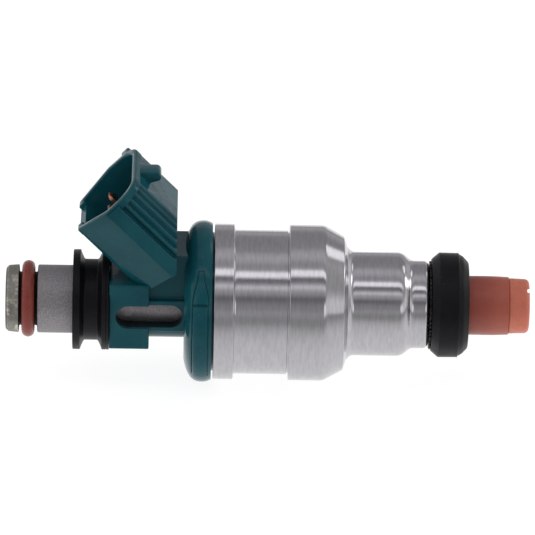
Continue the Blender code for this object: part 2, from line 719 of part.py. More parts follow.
def build_inlet_tube():
    """The inlet tube and magnet core in one: flange, ring groove, tube, then the core's long pole."""
    groove = INLET_FLANGE_LENGTH
    tube = groove + GROOVE_LENGTH
    shoulder = block_rear_x + CORE_SHOULDER - inlet_x
    pole = pole_x - inlet_x
    outline = round_corners([
        (0, FILTER_BORE_RADIUS),
        (FILTER_BORE_DEPTH, FILTER_BORE_RADIUS),
        (FILTER_BORE_DEPTH, FUEL_BORE_RADIUS),
        (pole, FUEL_BORE_RADIUS),
        (pole, CORE_RADIUS),
        (shoulder, CORE_RADIUS),
        (shoulder, INLET_RADIUS),
        (tube, INLET_RADIUS),
        (tube, GROOVE_RADIUS),
        (groove, GROOVE_RADIUS),
        (groove, INLET_RADIUS),
        (0, INLET_RADIUS, INLET_ROUND),
    ])
    turn("inlet_tube", outline, sintered_steel, inlet_x)


def build_rail_ring():
    """The elastic ring that seals the inlet tube in the fuel rail's cup."""
    inner = GROOVE_RADIUS + FIT
    middle = (RING_RADIUS + inner) / 2
    outline = ring_outline(middle, RING_WIDTH, RING_RADIUS - inner)
    station = inlet_x + INLET_FLANGE_LENGTH + GROOVE_LENGTH / 2
    turn("rail_ring", outline, red_rubber, station)


def build_rail_grommet():
    """The spool-shaped rubber cushion between the fuel rail and the connector body."""
    bore = INLET_RADIUS + FIT
    flange = GROMMET_FLANGE
    outline = [
        (0, bore),
        (GROMMET_LENGTH, bore),
        (GROMMET_LENGTH, GROMMET_RADIUS),
        (GROMMET_LENGTH - flange, GROMMET_RADIUS),
        (GROMMET_LENGTH - flange - GROMMET_TAPER, GROMMET_WAIST_RADIUS),
        (flange + GROMMET_TAPER, GROMMET_WAIST_RADIUS),
        (flange, GROMMET_RADIUS),
        (0, GROMMET_RADIUS),
    ]
    turn("rail_grommet", outline, rubber, grommet_rear_x)


def build_inlet_filter():
    """The fuel filter in the inlet: a collar with ribs, and a woven cup inside them."""
    outer = FILTER_BORE_RADIUS - FIT
    length = FILTER_BORE_DEPTH - INLET_ROUND - FIT
    inner = outer - FILTER_WALL
    frame = turn(
        "filter_frame", tube_outline(inner, outer, length), nylon, inlet_x + INLET_ROUND,
        sides=INNER_SIDES)
    middle = (FILTER_COLLAR + length - FILTER_COLLAR) / 2
    for i in range(FILTER_RIBS):
        window = box(
            f"filter_window_{i}",
            (FILTER_COLLAR - middle, 0, -FILTER_WINDOW / 2),
            (length - FILTER_COLLAR - middle, 2 * outer, FILTER_WINDOW / 2),
        )
        angle = 2 * math.pi * (i + 0.5) / FILTER_RIBS
        window.location = (
            inlet_x + INLET_ROUND + middle, outer * math.cos(angle), outer * math.sin(angle))
        window.rotation_euler = (angle, 0, 0)
        combine(frame, window, "DIFFERENCE")
    screen_outer = inner - FIT
    screen_inner = screen_outer - SCREEN_WALL
    cup = [
        (0, screen_inner),
        (length - SCREEN_WALL, screen_inner),
        (length - SCREEN_WALL, 0),
        (length, 0),
        (length, screen_outer),
        (0, screen_outer),
    ]
    turn("filter_screen", cup, nylon, inlet_x + INLET_ROUND, sides=INNER_SIDES, on_axis=True)


def build_preload_sleeve():
    """The slit sleeve pressed down the core to set the spring's preload."""
    outer = FUEL_BORE_RADIUS - FIT
    outline = tube_outline(outer - SLEEVE_WALL, outer, SLEEVE_LENGTH)
    sleeve_rear_x = sleeve_front_x - SLEEVE_LENGTH
    sleeve = turn("preload_sleeve", outline, brass, sleeve_rear_x, sides=INNER_SIDES)
    slit = box(
        "sleeve_slit",
        (sleeve_rear_x - OVERCUT, -0.25 * MM, 0),
        (sleeve_front_x + OVERCUT, 0.25 * MM, outer + OVERCUT),
    )
    combine(sleeve, slit, "DIFFERENCE")


def build_return_spring():
    """The coil spring that closes the valve, as a wire bent into a helix."""
    curve = bpy.data.curves.new("return_spring", "CURVE")
    curve.dimensions = "3D"
    curve.bevel_depth = SPRING_WIRE / 2
    curve.bevel_resolution = 1
    curve.use_fill_caps = True
    spline = curve.splines.new("POLY")
    count = SPRING_TURNS * SPRING_POINTS_PER_TURN + 1
    spline.points.add(count - 1)
    rise = SPRING_LENGTH - SPRING_WIRE
    for i, point in enumerate(spline.points):
        angle = 2 * math.pi * i / SPRING_POINTS_PER_TURN
        along = SPRING_WIRE / 2 + rise * i / (count - 1)
        point.co = (SPRING_RADIUS * math.cos(angle), SPRING_RADIUS * math.sin(angle), along, 1)
    curve.materials.append(spring_steel)
    obj = bpy.data.objects.new("return_spring", curve)
    obj.parent = injector_axis
    obj.location = (0, 0, spring_rear_x)
    parts.objects.link(obj)


def build_yoke_plate():
    """The magnetic plate between the core and the housing, notched for the terminals."""
    plate = turn(
        "yoke_plate", tube_outline(CORE_RADIUS + FIT, YOKE_RADIUS, YOKE_THICKNESS), steel,
        housing_rear_x + FIT)
    low = TERMINAL_TAIL_HEIGHT - TONGUE_HEIGHT / 2 - FIT
    notch = box(
        "yoke_notch",
        (housing_rear_x - OVERCUT, -TONGUE_WIDTH / 2 - FIT, low),
        (yoke_front_x + OVERCUT, TONGUE_WIDTH / 2 + FIT, YOKE_RADIUS + OVERCUT),
    )
    combine(plate, notch, "DIFFERENCE")


def build_coil():
    """The bobbin with its winding, two sealing rings and the leads up to the terminals."""
    length = bobbin_front_x - bobbin_rear_x
    bore = ARMATURE_RADIUS + RUNNING
    barrel = bore + BOBBIN_WALL
    seat = bore + BOBBIN_RING_SECTION + FIT
    pocket = BOBBIN_RING_SECTION + FIT
    outline = [
        (0, seat),
        (pocket, seat),
        (pocket, bore),
        (length - pocket, bore),
        (length - pocket, seat),
        (length, seat),
        (length, BOBBIN_RADIUS),
        (length - BOBBIN_FLANGE, BOBBIN_RADIUS),
        (length - BOBBIN_FLANGE, barrel),
        (BOBBIN_FLANGE, barrel),
        (BOBBIN_FLANGE, BOBBIN_RADIUS),
        (0, BOBBIN_RADIUS),
    ]
    bobbin = turn("coil_bobbin", outline, bobbin_plastic, bobbin_rear_x)
    low = TERMINAL_TAIL_HEIGHT - TERMINAL_THICKNESS
    wide = TERMINAL_PITCH / 2 + TERMINAL_WIDTH / 2
    notch = box(
        "bobbin_notch",
        (bobbin_rear_x - OVERCUT, -wide, low),
        (bobbin_rear_x + BOBBIN_FLANGE + FIT / 2, wide, BOBBIN_RADIUS + OVERCUT),
    )
    combine(bobbin, notch, "DIFFERENCE")
    winding_length = length - 2 * BOBBIN_FLANGE - 2 * FIT
    turn(
        "coil_winding", tube_outline(barrel + FIT, WINDING_RADIUS, winding_length), copper,
        bobbin_rear_x + BOBBIN_FLANGE + FIT)
    section = BOBBIN_RING_SECTION - FIT
    middle = bore + FIT + section / 2
    for name, station in (
        ("bobbin_ring_rear", bobbin_rear_x + pocket / 2),
        ("bobbin_ring_front", bobbin_front_x - pocket / 2),
    ):
        ring = ring_outline(middle, section, section - FIT, points=6)
        turn(name, ring, rubber, station, sides=INNER_SIDES)
    lead_rear = bobbin_rear_x + FIT
    lead_length = BOBBIN_FLANGE - FIT
    for side, y in terminal_sides():
        lead = turn(
            f"coil_lead_{side}",
            [(0, 0), (lead_length, 0), (lead_length, LEAD_RADIUS), (0, LEAD_RADIUS)],
            copper, lead_rear, sides=8, on_axis=True)
        lead.location = (-TERMINAL_TAIL_HEIGHT, y, lead_rear)


def build_armature():
    """The moving iron: a sleeve with a spring pocket behind, the needle's shank in front."""
    outline = round_corners([
        (0, SPRING_POCKET_RADIUS),
        (SPRING_POCKET_DEPTH, SPRING_POCKET_RADIUS),
        (SPRING_POCKET_DEPTH, NEEDLE_SHANK_RADIUS + FIT),
        (ARMATURE_LENGTH, NEEDLE_SHANK_RADIUS + FIT),
        (ARMATURE_LENGTH, ARMATURE_RADIUS, 0.4 * MM),
        (0, ARMATURE_RADIUS),
    ], steps=1)
    armature = turn("armature", outline, steel, armature_rear_x, sides=OUTER_SIDES)
    for i in range(FLOW_HOLES):
        angle = 2 * math.pi * (i + 0.5) / FLOW_HOLES
        hole = turn(
            f"flow_hole_{i}",
            [(0, 0), (ARMATURE_LENGTH + 2 * OVERCUT, 0),
             (ARMATURE_LENGTH + 2 * OVERCUT, FLOW_HOLE_RADIUS), (0, FLOW_HOLE_RADIUS)],
            None, armature_rear_x - OVERCUT, sides=8, on_axis=True)
        hole.location = (
            FLOW_HOLE_CIRCLE * math.cos(angle), FLOW_HOLE_CIRCLE * math.sin(angle),
            armature_rear_x - OVERCUT)
        combine(armature, hole, "DIFFERENCE")


def build_needle():
    """The valve needle: shank, stop flange, two guide lands, seat cone and pintle."""
    start_x = armature_front_x - NEEDLE_GRIP
    flange = needle_flange_x - start_x
    seat_end = valve_body_front_x - VALVE_ORIFICE_LENGTH - start_x
    seat_start = seat_end - VALVE_SEAT_LENGTH
    rear_land = flange + NEEDLE_FLANGE_THICKNESS + NEEDLE_REAR_RELIEF
    front_land = seat_start - NEEDLE_FRONT_SETBACK - NEEDLE_LAND_LENGTH
    pintle_end = valve_body_front_x + NEEDLE_PINTLE_REACH - start_x
    bore = NEEDLE_LAND_RADIUS + RUNNING
    # the cone runs parallel to the seat, set back along the axis by the seat gap
    slope = (bore - VALVE_ORIFICE_RADIUS) / VALVE_SEAT_LENGTH
    cone_radius = bore - NEEDLE_CONE_STEP
    cone_start = seat_start + (bore - cone_radius) / slope - SEAT_GAP
    cone_end = seat_start + (bore - NEEDLE_PINTLE_RADIUS) / slope - SEAT_GAP
    outline = [
        (0, 0),
        (0, NEEDLE_SHANK_RADIUS),
        (flange, NEEDLE_SHANK_RADIUS),
        (flange, NEEDLE_FLANGE_RADIUS),
        (flange + NEEDLE_FLANGE_THICKNESS, NEEDLE_FLANGE_RADIUS),
        (flange + NEEDLE_FLANGE_THICKNESS, NEEDLE_RELIEF_RADIUS),
        (rear_land, NEEDLE_RELIEF_RADIUS),
        (rear_land, NEEDLE_LAND_RADIUS),
        (rear_land + NEEDLE_LAND_LENGTH, NEEDLE_LAND_RADIUS),
        (rear_land + NEEDLE_LAND_LENGTH, NEEDLE_RELIEF_RADIUS),
        (front_land, NEEDLE_RELIEF_RADIUS),
        (front_land, NEEDLE_LAND_RADIUS),
        (front_land + NEEDLE_LAND_LENGTH, NEEDLE_LAND_RADIUS),
        (cone_start, cone_radius),
        (cone_end, NEEDLE_PINTLE_RADIUS),
        (pintle_end, NEEDLE_PINTLE_RADIUS),
        (pintle_end, 0),
    ]
    turn("needle", outline, hard_steel, start_x, sides=INNER_SIDES, on_axis=True)


def build_stop_plate():
    """The slotted stop plate that the needle's flange meets at full lift."""
    plate = turn(
        "stop_plate",
        tube_outline(STOP_PLATE_BORE, VALVE_BORE_RADIUS - FIT, STOP_PLATE_THICKNESS), hard_steel,
        stop_plate_rear_x)
    slot = box(
        "stop_plate_slot",
        (stop_plate_rear_x - OVERCUT, -STOP_PLATE_BORE + 0.3 * MM, -VALVE_BORE_RADIUS - OVERCUT),
        (stop_plate_rear_x + STOP_PLATE_THICKNESS + OVERCUT, STOP_PLATE_BORE - 0.3 * MM, 0),
    )
    combine(plate, slot, "DIFFERENCE")


def build_valve_body():
    """The nozzle body: guide bore, conical seat and orifice, with a ring groove outside."""
    radius = VALVE_BORE_RADIUS - FIT
    bore = NEEDLE_LAND_RADIUS + RUNNING
    seat_end = VALVE_BODY_LENGTH - VALVE_ORIFICE_LENGTH
    groove = BODY_RING_STATION
    groove_radius = radius - BODY_RING_SECTION
    outline = round_corners([
        (0, VALVE_POCKET_RADIUS),
        (VALVE_POCKET_DEPTH, VALVE_POCKET_RADIUS),
        (VALVE_POCKET_DEPTH, bore),
        (seat_end - VALVE_SEAT_LENGTH, bore),
        (seat_end, VALVE_ORIFICE_RADIUS),
        (VALVE_BODY_LENGTH, VALVE_ORIFICE_RADIUS),
        (VALVE_BODY_LENGTH, VALVE_BODY_TIP_RADIUS, 0.3 * MM),
        (VALVE_BODY_SHOULDER, VALVE_BODY_TIP_RADIUS),
        (VALVE_BODY_SHOULDER, radius),
        (groove + BODY_RING_GROOVE, radius),
        (groove + BODY_RING_GROOVE, groove_radius),
        (groove, groove_radius),
        (groove, radius),
        (0, radius),
    ], steps=1)
    turn("valve_body", outline, hard_steel, valve_body_rear_x)
    section = BODY_RING_SECTION - 2 * FIT
    ring = ring_outline(groove_radius + FIT + section / 2, section, section, points=8)
    station = valve_body_rear_x + groove + BODY_RING_GROOVE / 2
    turn("valve_body_ring", ring, rubber, station)


clear_scene()
injector_axis = make_empty("injector_axis", (0, 0, 0), math.pi / 2)
connector_axis = make_empty(
    "connector_axis",
    (block_front_x - SHROUD_CORNER_SETBACK, 0, SHROUD_CORNER_HEIGHT),
    -SHROUD_ANGLE,
)
brushed_steel = make_material("brushed_steel", (0.62, 0.61, 0.62), 0.28, 1.0)
steel = make_material("steel", (0.5, 0.5, 0.5), 0.35, 1.0)
hard_steel = make_material("hard_steel", (0.55, 0.55, 0.57), 0.2, 1.0)
spring_steel = make_material("spring_steel", (0.4, 0.4, 0.42), 0.3, 1.0)
sintered_steel = make_material("sintered_steel", (0.42, 0.4, 0.42), 0.5, 1.0)
brass = make_material("brass", (0.72, 0.55, 0.25), 0.35, 1.0)
copper = make_material("copper", (0.66, 0.31, 0.16), 0.35, 1.0)
teal_plastic = make_material("teal_plastic", (0.02, 0.1, 0.12), 0.25)
bobbin_plastic = make_material("bobbin_plastic", (0.05, 0.05, 0.05), 0.45)
nylon = make_material("nylon", (0.75, 0.72, 0.62), 0.5)
cap_plastic = make_material("cap_plastic", (0.6, 0.19, 0.12), 0.4)
rubber = make_material("rubber", (0.012, 0.012, 0.013), 0.6)
red_rubber = make_material("red_rubber", (0.25, 0.06, 0.045), 0.45)

build_inlet_tube()
build_rail_ring()
build_inlet_filter()
build_rail_grommet()
build_connector_body()
build_terminals()
build_housing()
build_yoke_plate()
build_coil()
build_preload_sleeve()
build_return_spring()
build_armature()
build_needle()
build_stop_plate()
build_valve_body()
build_backing_washer()
build_manifold_seal()
build_nozzle_cap()
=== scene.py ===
import math

import bmesh
import bpy
from mathutils import Matrix, Vector


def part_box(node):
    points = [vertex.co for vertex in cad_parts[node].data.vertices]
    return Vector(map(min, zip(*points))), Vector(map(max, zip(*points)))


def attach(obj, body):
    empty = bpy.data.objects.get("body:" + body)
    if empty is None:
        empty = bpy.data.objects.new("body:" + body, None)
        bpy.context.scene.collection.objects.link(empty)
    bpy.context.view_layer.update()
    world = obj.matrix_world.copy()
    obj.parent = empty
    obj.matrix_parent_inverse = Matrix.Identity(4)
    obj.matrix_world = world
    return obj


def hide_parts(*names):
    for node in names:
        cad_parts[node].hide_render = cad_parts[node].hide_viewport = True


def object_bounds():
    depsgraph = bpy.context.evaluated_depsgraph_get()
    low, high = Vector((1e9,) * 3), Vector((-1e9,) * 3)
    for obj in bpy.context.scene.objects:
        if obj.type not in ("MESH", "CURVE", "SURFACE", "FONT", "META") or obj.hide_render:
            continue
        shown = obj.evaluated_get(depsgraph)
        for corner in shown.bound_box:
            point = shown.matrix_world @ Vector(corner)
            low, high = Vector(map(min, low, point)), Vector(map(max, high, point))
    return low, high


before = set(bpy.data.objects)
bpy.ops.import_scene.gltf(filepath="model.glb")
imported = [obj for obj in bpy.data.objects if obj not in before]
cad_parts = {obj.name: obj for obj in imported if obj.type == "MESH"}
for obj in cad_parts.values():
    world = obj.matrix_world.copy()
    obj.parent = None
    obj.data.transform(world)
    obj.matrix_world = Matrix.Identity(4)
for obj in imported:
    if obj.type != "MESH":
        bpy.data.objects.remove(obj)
cadLow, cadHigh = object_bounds()
mm = 0.001
scene = bpy.context.scene
scene.view_settings.view_transform = "Standard"
scene.view_settings.look = "None"

cameraView = {
    "elevation": 23.6,      # degrees above the injector's axis
    "swing": 0.8,           # degrees round from square on, towards the inlet end
    "roll": 1.24,           # degrees, so that the nozzle end sits a little lower
    "centre": -30.46,       # mm along the axis
    "lift": 5.23,           # mm above the axis, in the camera's own up direction
    "width": 81.06,         # mm seen across the frame
    "distance": 900.0,
    "sensor": 36.0,
}


def placeCamera(view):
    rise = math.radians(view["elevation"])
    swing = math.radians(view["swing"])
    back = Vector((-math.sin(swing) * math.cos(rise), -math.cos(swing) * math.cos(rise),
                   math.sin(rise)))
    up = back.cross(Vector((math.cos(swing), -math.sin(swing), 0)))
    target = Vector((view["centre"], 0, 0)) + up * view["lift"]
    data = bpy.data.cameras.new("camera")
    data.lens = view["sensor"] * view["distance"] / view["width"]
    data.clip_start, data.clip_end = 0.01, 20
    camera = bpy.data.objects.new("camera", data)
    camera.location = (target + back * view["distance"]) * mm
    turn = (-back).to_track_quat("-Z", "Y").to_matrix()
    roll = Matrix.Rotation(math.radians(view["roll"]), 3, "Z")
    camera.rotation_euler = (turn @ roll).to_euler()
    scene.collection.objects.link(camera)
    scene.camera = camera


placeCamera(cameraView)
print("camera placed")


def addNode(tree, kind, values=None, **settings):
    node = tree.nodes.new(kind if "Node" in kind else "ShaderNode" + kind)
    for key, value in settings.items():
        setattr(node, key, value)
    for socket, value in (values or {}).items():
        if isinstance(value, bpy.types.NodeSocket):
            tree.links.new(value, node.inputs[socket])
        else:
            node.inputs[socket].default_value = value
    return node


def newGroup(name, inputs, outputs):
    group = bpy.data.node_groups.new(name, "ShaderNodeTree")
    for way, labels in (("INPUT", inputs), ("OUTPUT", outputs)):
        for label in labels:
            kind = "NodeSocketVector" if label == "Vector" else "NodeSocketFloat"
            group.interface.new_socket(label, in_out=way, socket_type=kind)
    given, made = group.nodes.new("NodeGroupInput"), group.nodes.new("NodeGroupOutput")
    return group, given.outputs, made.inputs


def mathNode(tree, operation, first, second=0.5, third=0.5, clamp=False):
    node = addNode(tree, "Math", {0: first, 1: second, 2: third}, operation=operation)
    node.use_clamp = clamp
    return node.outputs[0]


def rangeNode(tree, value, fromLow, fromHigh, toLow=0.0, toHigh=1.0):
    node = addNode(tree, "MapRange", {
        0: value, 1: fromLow, 2: fromHigh, 3: toLow, 4: toHigh}, interpolation_type="SMOOTHSTEP")
    return node.outputs[0]


def mixColour(tree, factor, first, second, blend="MIX"):
    node = addNode(tree, "Mix", {0: factor, 6: first, 7: second},
                   data_type="RGBA", blend_type=blend)
    return node.outputs[2]


studio = {
    "floorGlow": 0.88,        # of the floor as the camera sees it
    "floorNear": 0.95,        # of the floor under the object, in its reflections
    "floorFar": 0.37,         # of the floor in front of it
    "floorReach": 0.14,       # metres from the object to that darker floor
    "floorFade": 2.2,
    "sideRight": (0.9, 0.45),  # soft lights past the ends of the object, low and high
    "sideLeft": (0.9, 0.8),
    "sideStart": (0.5, 0.78),  # how far out they begin and are full
    "sideRise": (0.2, 0.46),  # where low turns into high
    "archTint": (1, 0.985, 1.02),
    # small soft lights: direction, brightness, cosines where each begins and is full
    "patches": (
        ((0.61, 0.48, 0.63), 1.5, 0.982, 0.994),
        ((0.86, 0.21, 0.46), 3.6, 0.98, 0.995),
        ((0.57, -0.80, 0.17), 1.3, 0.975, 0.992),
    ),
    # (elevation from the camera's side over the top, brightness)
    "arch": (
        (-20, 0.50), (0, 0.42), (7, 0.46), (12, 0.37), (19, 0.34), (24, 0.26), (29, 0.17),
        (35, 0.40), (41, 0.52), (47, 0.98), (52, 0.42), (58, 0.14), (61, 0.2), (64, 1.45),
        (71, 1.45), (75, 0.42), (84, 0.41), (91, 0.54), (98, 0.60), (106, 0.52), (113, 0.38),
        (130, 0.34), (152, 0.34), (166, 0.5), (180, 0.35),
    ),
}


def buildStudio(values):
    world = bpy.data.worlds.new("studio")
    scene.world = world
    world.use_nodes = True
    tree = world.node_tree
    tree.nodes.clear()
    ray = addNode(tree, "TexCoord").outputs["Generated"]
    axes = addNode(tree, "SeparateXYZ", {0: ray}).outputs
    back = mathNode(tree, "MULTIPLY", axes["Y"], -1.0)
    angle = mathNode(tree, "ARCTAN2", axes["Z"], back)
    place = addNode(tree, "MapRange", {0: angle, 1: -math.pi, 2: math.pi}).outputs[0]
    ramp = addNode(tree, "ValToRGB", {0: place})
    stops = ramp.color_ramp.elements
    for i, (degrees, bright) in enumerate(values["arch"]):
        at = (degrees + 180) / 360
        stop = stops[i] if i < 2 else stops.new(at)
        stop.position = at
        stop.color = (*(bright * share for share in values["archTint"]), 1)
    colour = ramp.outputs[0]
    begins, full = values["sideStart"]
    for way, side in ((1, "sideRight"), (-1, "sideLeft")):
        share = rangeNode(tree, axes["X"], way * begins, way * full)
        light = rangeNode(tree, axes["Z"], *values["sideRise"], *values[side])
        colour = mixColour(tree, share, colour, light)
    for aim, bright, begins, full in values["patches"]:
        near = addNode(tree, "VectorMath", {0: ray, 1: aim},
                       operation="DOT_PRODUCT").outputs["Value"]
        colour = mixColour(tree, rangeNode(tree, near, begins, full), colour,
                           (bright, bright, bright, 1))
    lit = addNode(tree, "Background", {0: colour, 1: 1.0})
    plain = addNode(tree, "Background", {0: (1, 1, 1, 1), 1: 1.0})
    seen = addNode(tree, "LightPath").outputs["Is Camera Ray"]
    both = addNode(tree, "MixShader", {0: seen, 1: lit.outputs[0], 2: plain.outputs[0]})
    addNode(tree, "OutputWorld", {0: both.outputs[0]})

    mesh = bpy.data.meshes.new("floor")
    reach, low = 6.0, cadLow.z - 0.05 * mm
    mesh.from_pydata([(-reach, -reach, low), (reach, -reach, low), (reach, reach, low),
                      (-reach, reach, low)], [], [(0, 1, 2, 3)])
    floor = bpy.data.objects.new("floor", mesh)
    scene.collection.objects.link(floor)
    paint = bpy.data.materials.new("paleFloor")
    paint.use_nodes = True
    tree = paint.node_tree
    tree.nodes.clear()
    place = addNode(tree, "TexCoord").outputs["Object"]
    front = addNode(tree, "SeparateXYZ", {0: place}).outputs["Y"]
    share = addNode(tree, "MapRange", {0: front, 1: -values["floorReach"], 2: 0.0})
    share = mathNode(tree, "POWER", share.outputs[0], values["floorFade"])
    glow = rangeNode(tree, share, 0.0, 1.0, values["floorFar"], values["floorNear"])
    shown = addNode(tree, "BsdfPrincipled", {
        "Base Color": (0.3, 0.3, 0.3, 1), "Roughness": 0.9,
        "Emission Color": (1, 1, 1, 1), "Emission Strength": values["floorGlow"]})
    mirrored = addNode(tree, "Emission", {0: (1, 1, 1, 1), 1: glow})
    seen = addNode(tree, "LightPath").outputs["Is Camera Ray"]
    both = addNode(tree, "MixShader", {
        0: seen, 1: mirrored.outputs[0], 2: shown.outputs[0]})
    addNode(tree, "OutputMaterial", {0: both.outputs[0]})
    mesh.materials.append(paint)


buildStudio(studio)
print("studio built")


# surface effects that several finishes share; scales are counts to the metre
def turnedLinesGroup():
    group, given, made = newGroup("turnedLines", ("Vector", "Pitch", "Length"),
                                  ("Height", "Streaks"))
    along = addNode(group, "CombineXYZ", {
        0: given["Pitch"], 1: given["Length"], 2: given["Length"]})
    fine = addNode(group, "VectorMath", {0: given["Vector"], 1: along.outputs[0]},
                   operation="MULTIPLY")
    lines = addNode(group, "TexNoise", {
        "Vector": fine.outputs[0], "Scale": 1.0, "Detail": 4.0, "Roughness": 0.65})
    wide = addNode(group, "VectorMath", {0: fine.outputs[0], 1: (0.4, 0.8, 0.8)},
                   operation="MULTIPLY")
    streaks = addNode(group, "TexNoise", {
        "Vector": wide.outputs[0], "Scale": 1.0, "Detail": 3.0, "Roughness": 0.55})
    group.links.new(lines.outputs["Fac"], made["Height"])
    group.links.new(streaks.outputs["Fac"], made["Streaks"])
    return group


def fineGrainGroup():
    group, given, made = newGroup("fineGrain", ("Vector", "Scale", "Pits"), ("Height",))
    grain = addNode(group, "TexNoise", {
        "Vector": given["Vector"], "Scale": given["Scale"], "Detail": 5.0, "Roughness": 0.6})
    cells = addNode(group, "TexVoronoi", {"Vector": given["Vector"], "Scale": given["Scale"]})
    pits = mathNode(group, "LESS_THAN", cells.outputs["Distance"], given["Pits"])
    height = mathNode(group, "SUBTRACT", grain.outputs["Fac"],
                      mathNode(group, "MULTIPLY", pits, 0.25))
    group.links.new(height, made["Height"])
    return group


def handlingMarksGroup():
    group, given, made = newGroup("handlingMarks", ("Vector", "Scale"), ("Value", "Specks"))
    cloud = addNode(group, "TexNoise", {
        "Vector": given["Vector"], "Scale": given["Scale"],
        "Detail": 4.0, "Roughness": 0.6, "Distortion": 0.4})
    spread = addNode(group, "MapRange", {0: cloud.outputs["Fac"], 1: 0.35, 2: 0.68})
    often = mathNode(group, "MULTIPLY", given["Scale"], 14.0)
    dust = addNode(group, "TexNoise", {
        "Vector": given["Vector"], "Scale": often, "Detail": 2.0, "Roughness": 0.5})
    specks = addNode(group, "MapRange", {0: dust.outputs["Fac"], 1: 0.7, 2: 0.78})
    group.links.new(spread.outputs[0], made["Value"])
    group.links.new(specks.outputs[0], made["Specks"])
    return group


turnedLines = turnedLinesGroup()
fineGrain = fineGrainGroup()
handlingMarks = handlingMarksGroup()
finishes = {}


def startFinish(name, **constants):
    material = bpy.data.materials.new(name)
    material.use_nodes = True
    tree = material.node_tree
    shader = tree.nodes["Principled BSDF"]
    for socket, value in constants.items():
        shader.inputs[socket.replace("_", " ")].default_value = value
    finishes[name] = material
    return tree, shader, addNode(tree, "TexCoord").outputs["Object"]


def endFinish(tree, shader, colour, roughness, height, bump):
    strength, depth = bump
    raised = addNode(tree, "Bump", {"Strength": strength, "Distance": depth, "Height": height})
    for value, socket in ((colour, "Base Color"), (roughness, "Roughness"),
                          (raised.outputs[0], "Normal")):
        tree.links.new(value, shader.inputs[socket])


def useGroup(tree, group, vector, **values):
    node = addNode(tree, "Group", node_tree=group)
    tree.links.new(vector, node.inputs["Vector"])
    for socket, value in values.items():
        node.inputs[socket].default_value = value
    return node.outputs


def tint(tree, mask, share, colour, other):
    # a share of the other colour where the mask is
    return mixColour(tree, mathNode(tree, "MULTIPLY", mask, share), colour, other)


brushedSteelLook = {"light": (0.53, 0.52, 0.545, 1), "dark": (0.40, 0.39, 0.415, 1),
                    "streak": 0.5, "pitch": 6500.0, "length": 620.0, "marks": 170.0,
                    "grit": 0.2, "roughness": (0.12, 0.2), "bump": (0.24, 0.00002)}


def brushedSteelFinish(look):
    tree, shader, place = startFinish("brushedSteel", Metallic=1.0)
    lines = useGroup(tree, turnedLines, place, Pitch=look["pitch"], Length=look["length"])
    marks = useGroup(tree, handlingMarks, place, Scale=look["marks"])
    streak = rangeNode(tree, lines["Streaks"], 0.3, 0.75)
    colour = tint(tree, streak, look["streak"], look["light"], look["dark"])
    grit = mathNode(tree, "MULTIPLY", marks["Value"], look["grit"])
    blend = mathNode(tree, "ADD", grit, mathNode(tree, "MULTIPLY", lines["Height"], 0.5),
                     clamp=True)
    roughness = rangeNode(tree, blend, 0.0, 1.0, *look["roughness"])
    endFinish(tree, shader, colour, roughness, lines["Height"], look["bump"])


tealPlasticLook = {"body": (0.005, 0.072, 0.094, 1), "faded": (0.01, 0.1, 0.122, 1),
                   "dust": (0.16, 0.20, 0.20, 1), "dusty": 0.32, "marks": 150.0,
                   "grain": 1500.0, "swell": 420.0, "roughness": (0.09, 0.2),
                   "bump": (0.14, 0.0002), "specular": 0.17,
                   # rear, front, half width and half height of the hollow in the neck that gets
                   # painted shade
                   "recess": (-53.5, -42.9, 5.92, 1.88), "recessShade": 0.2}


def tealPlasticFinish(look):
    tree, shader, place = startFinish("tealPlastic", Specular_IOR_Level=look["specular"])
    marks = useGroup(tree, handlingMarks, place, Scale=look["marks"])
    grain = useGroup(tree, fineGrain, place, Scale=look["grain"], Pits=0.05)
    colour = mixColour(tree, marks["Value"], look["body"], look["faded"])
    colour = tint(tree, marks["Specks"], look["dusty"], colour, look["dust"])
    axes = addNode(tree, "SeparateXYZ", {0: place}).outputs
    # painted shade: inside the side slot's hollow the plastic colour is multiplied darker,
    # standing for the shade that falls there
    rear, front, deep, tall = (value * mm for value in look["recess"])
    inside = mathNode(tree, "MULTIPLY", mathNode(tree, "GREATER_THAN", axes["X"], rear),
                      mathNode(tree, "LESS_THAN", axes["X"], front))
    for axis, half in (("Y", deep), ("Z", tall)):
        near = mathNode(tree, "LESS_THAN", mathNode(tree, "ABSOLUTE", axes[axis]), half)
        inside = mathNode(tree, "MULTIPLY", inside, near)
    shade = look["recessShade"]
    colour = mixColour(tree, inside, colour, mixColour(
        tree, 1.0, colour, (shade, shade, shade, 1), "MULTIPLY"))
    roughness = rangeNode(tree, marks["Value"], 0.0, 1.0, *look["roughness"])
    swell = addNode(tree, "TexNoise", {"Vector": place, "Scale": look["swell"], "Detail": 2.0})
    height = mathNode(tree, "ADD", swell.outputs["Fac"],
                      mathNode(tree, "MULTIPLY", grain["Height"], 0.12))
    endFinish(tree, shader, colour, roughness, height, look["bump"])


sinteredSteelLook = {"light": (0.43, 0.41, 0.43, 1), "dark": (0.17, 0.16, 0.17, 1),
                     "worn": (0.66, 0.61, 0.50, 1), "olive": (0.28, 0.275, 0.235, 1),
                     "oily": 0.75, "stain": (0.09, 0.09, 0.085, 1), "stained": 0.45,
                     "grain": 4400.0, "pits": 0.16, "spots": 520.0, "clouds": 330.0,
                     "roughness": (0.56, 0.28), "bump": (0.25, 0.00004), "wornReach": -67.6,
                     # painted shade in the ring groove, darker towards its bottom: full and
                     # clear radius, where it starts
                     "gland": (4.5, 4.95, -64.9), "paintedGrooveShade": (0.012, 0.009, 0.008, 1)}


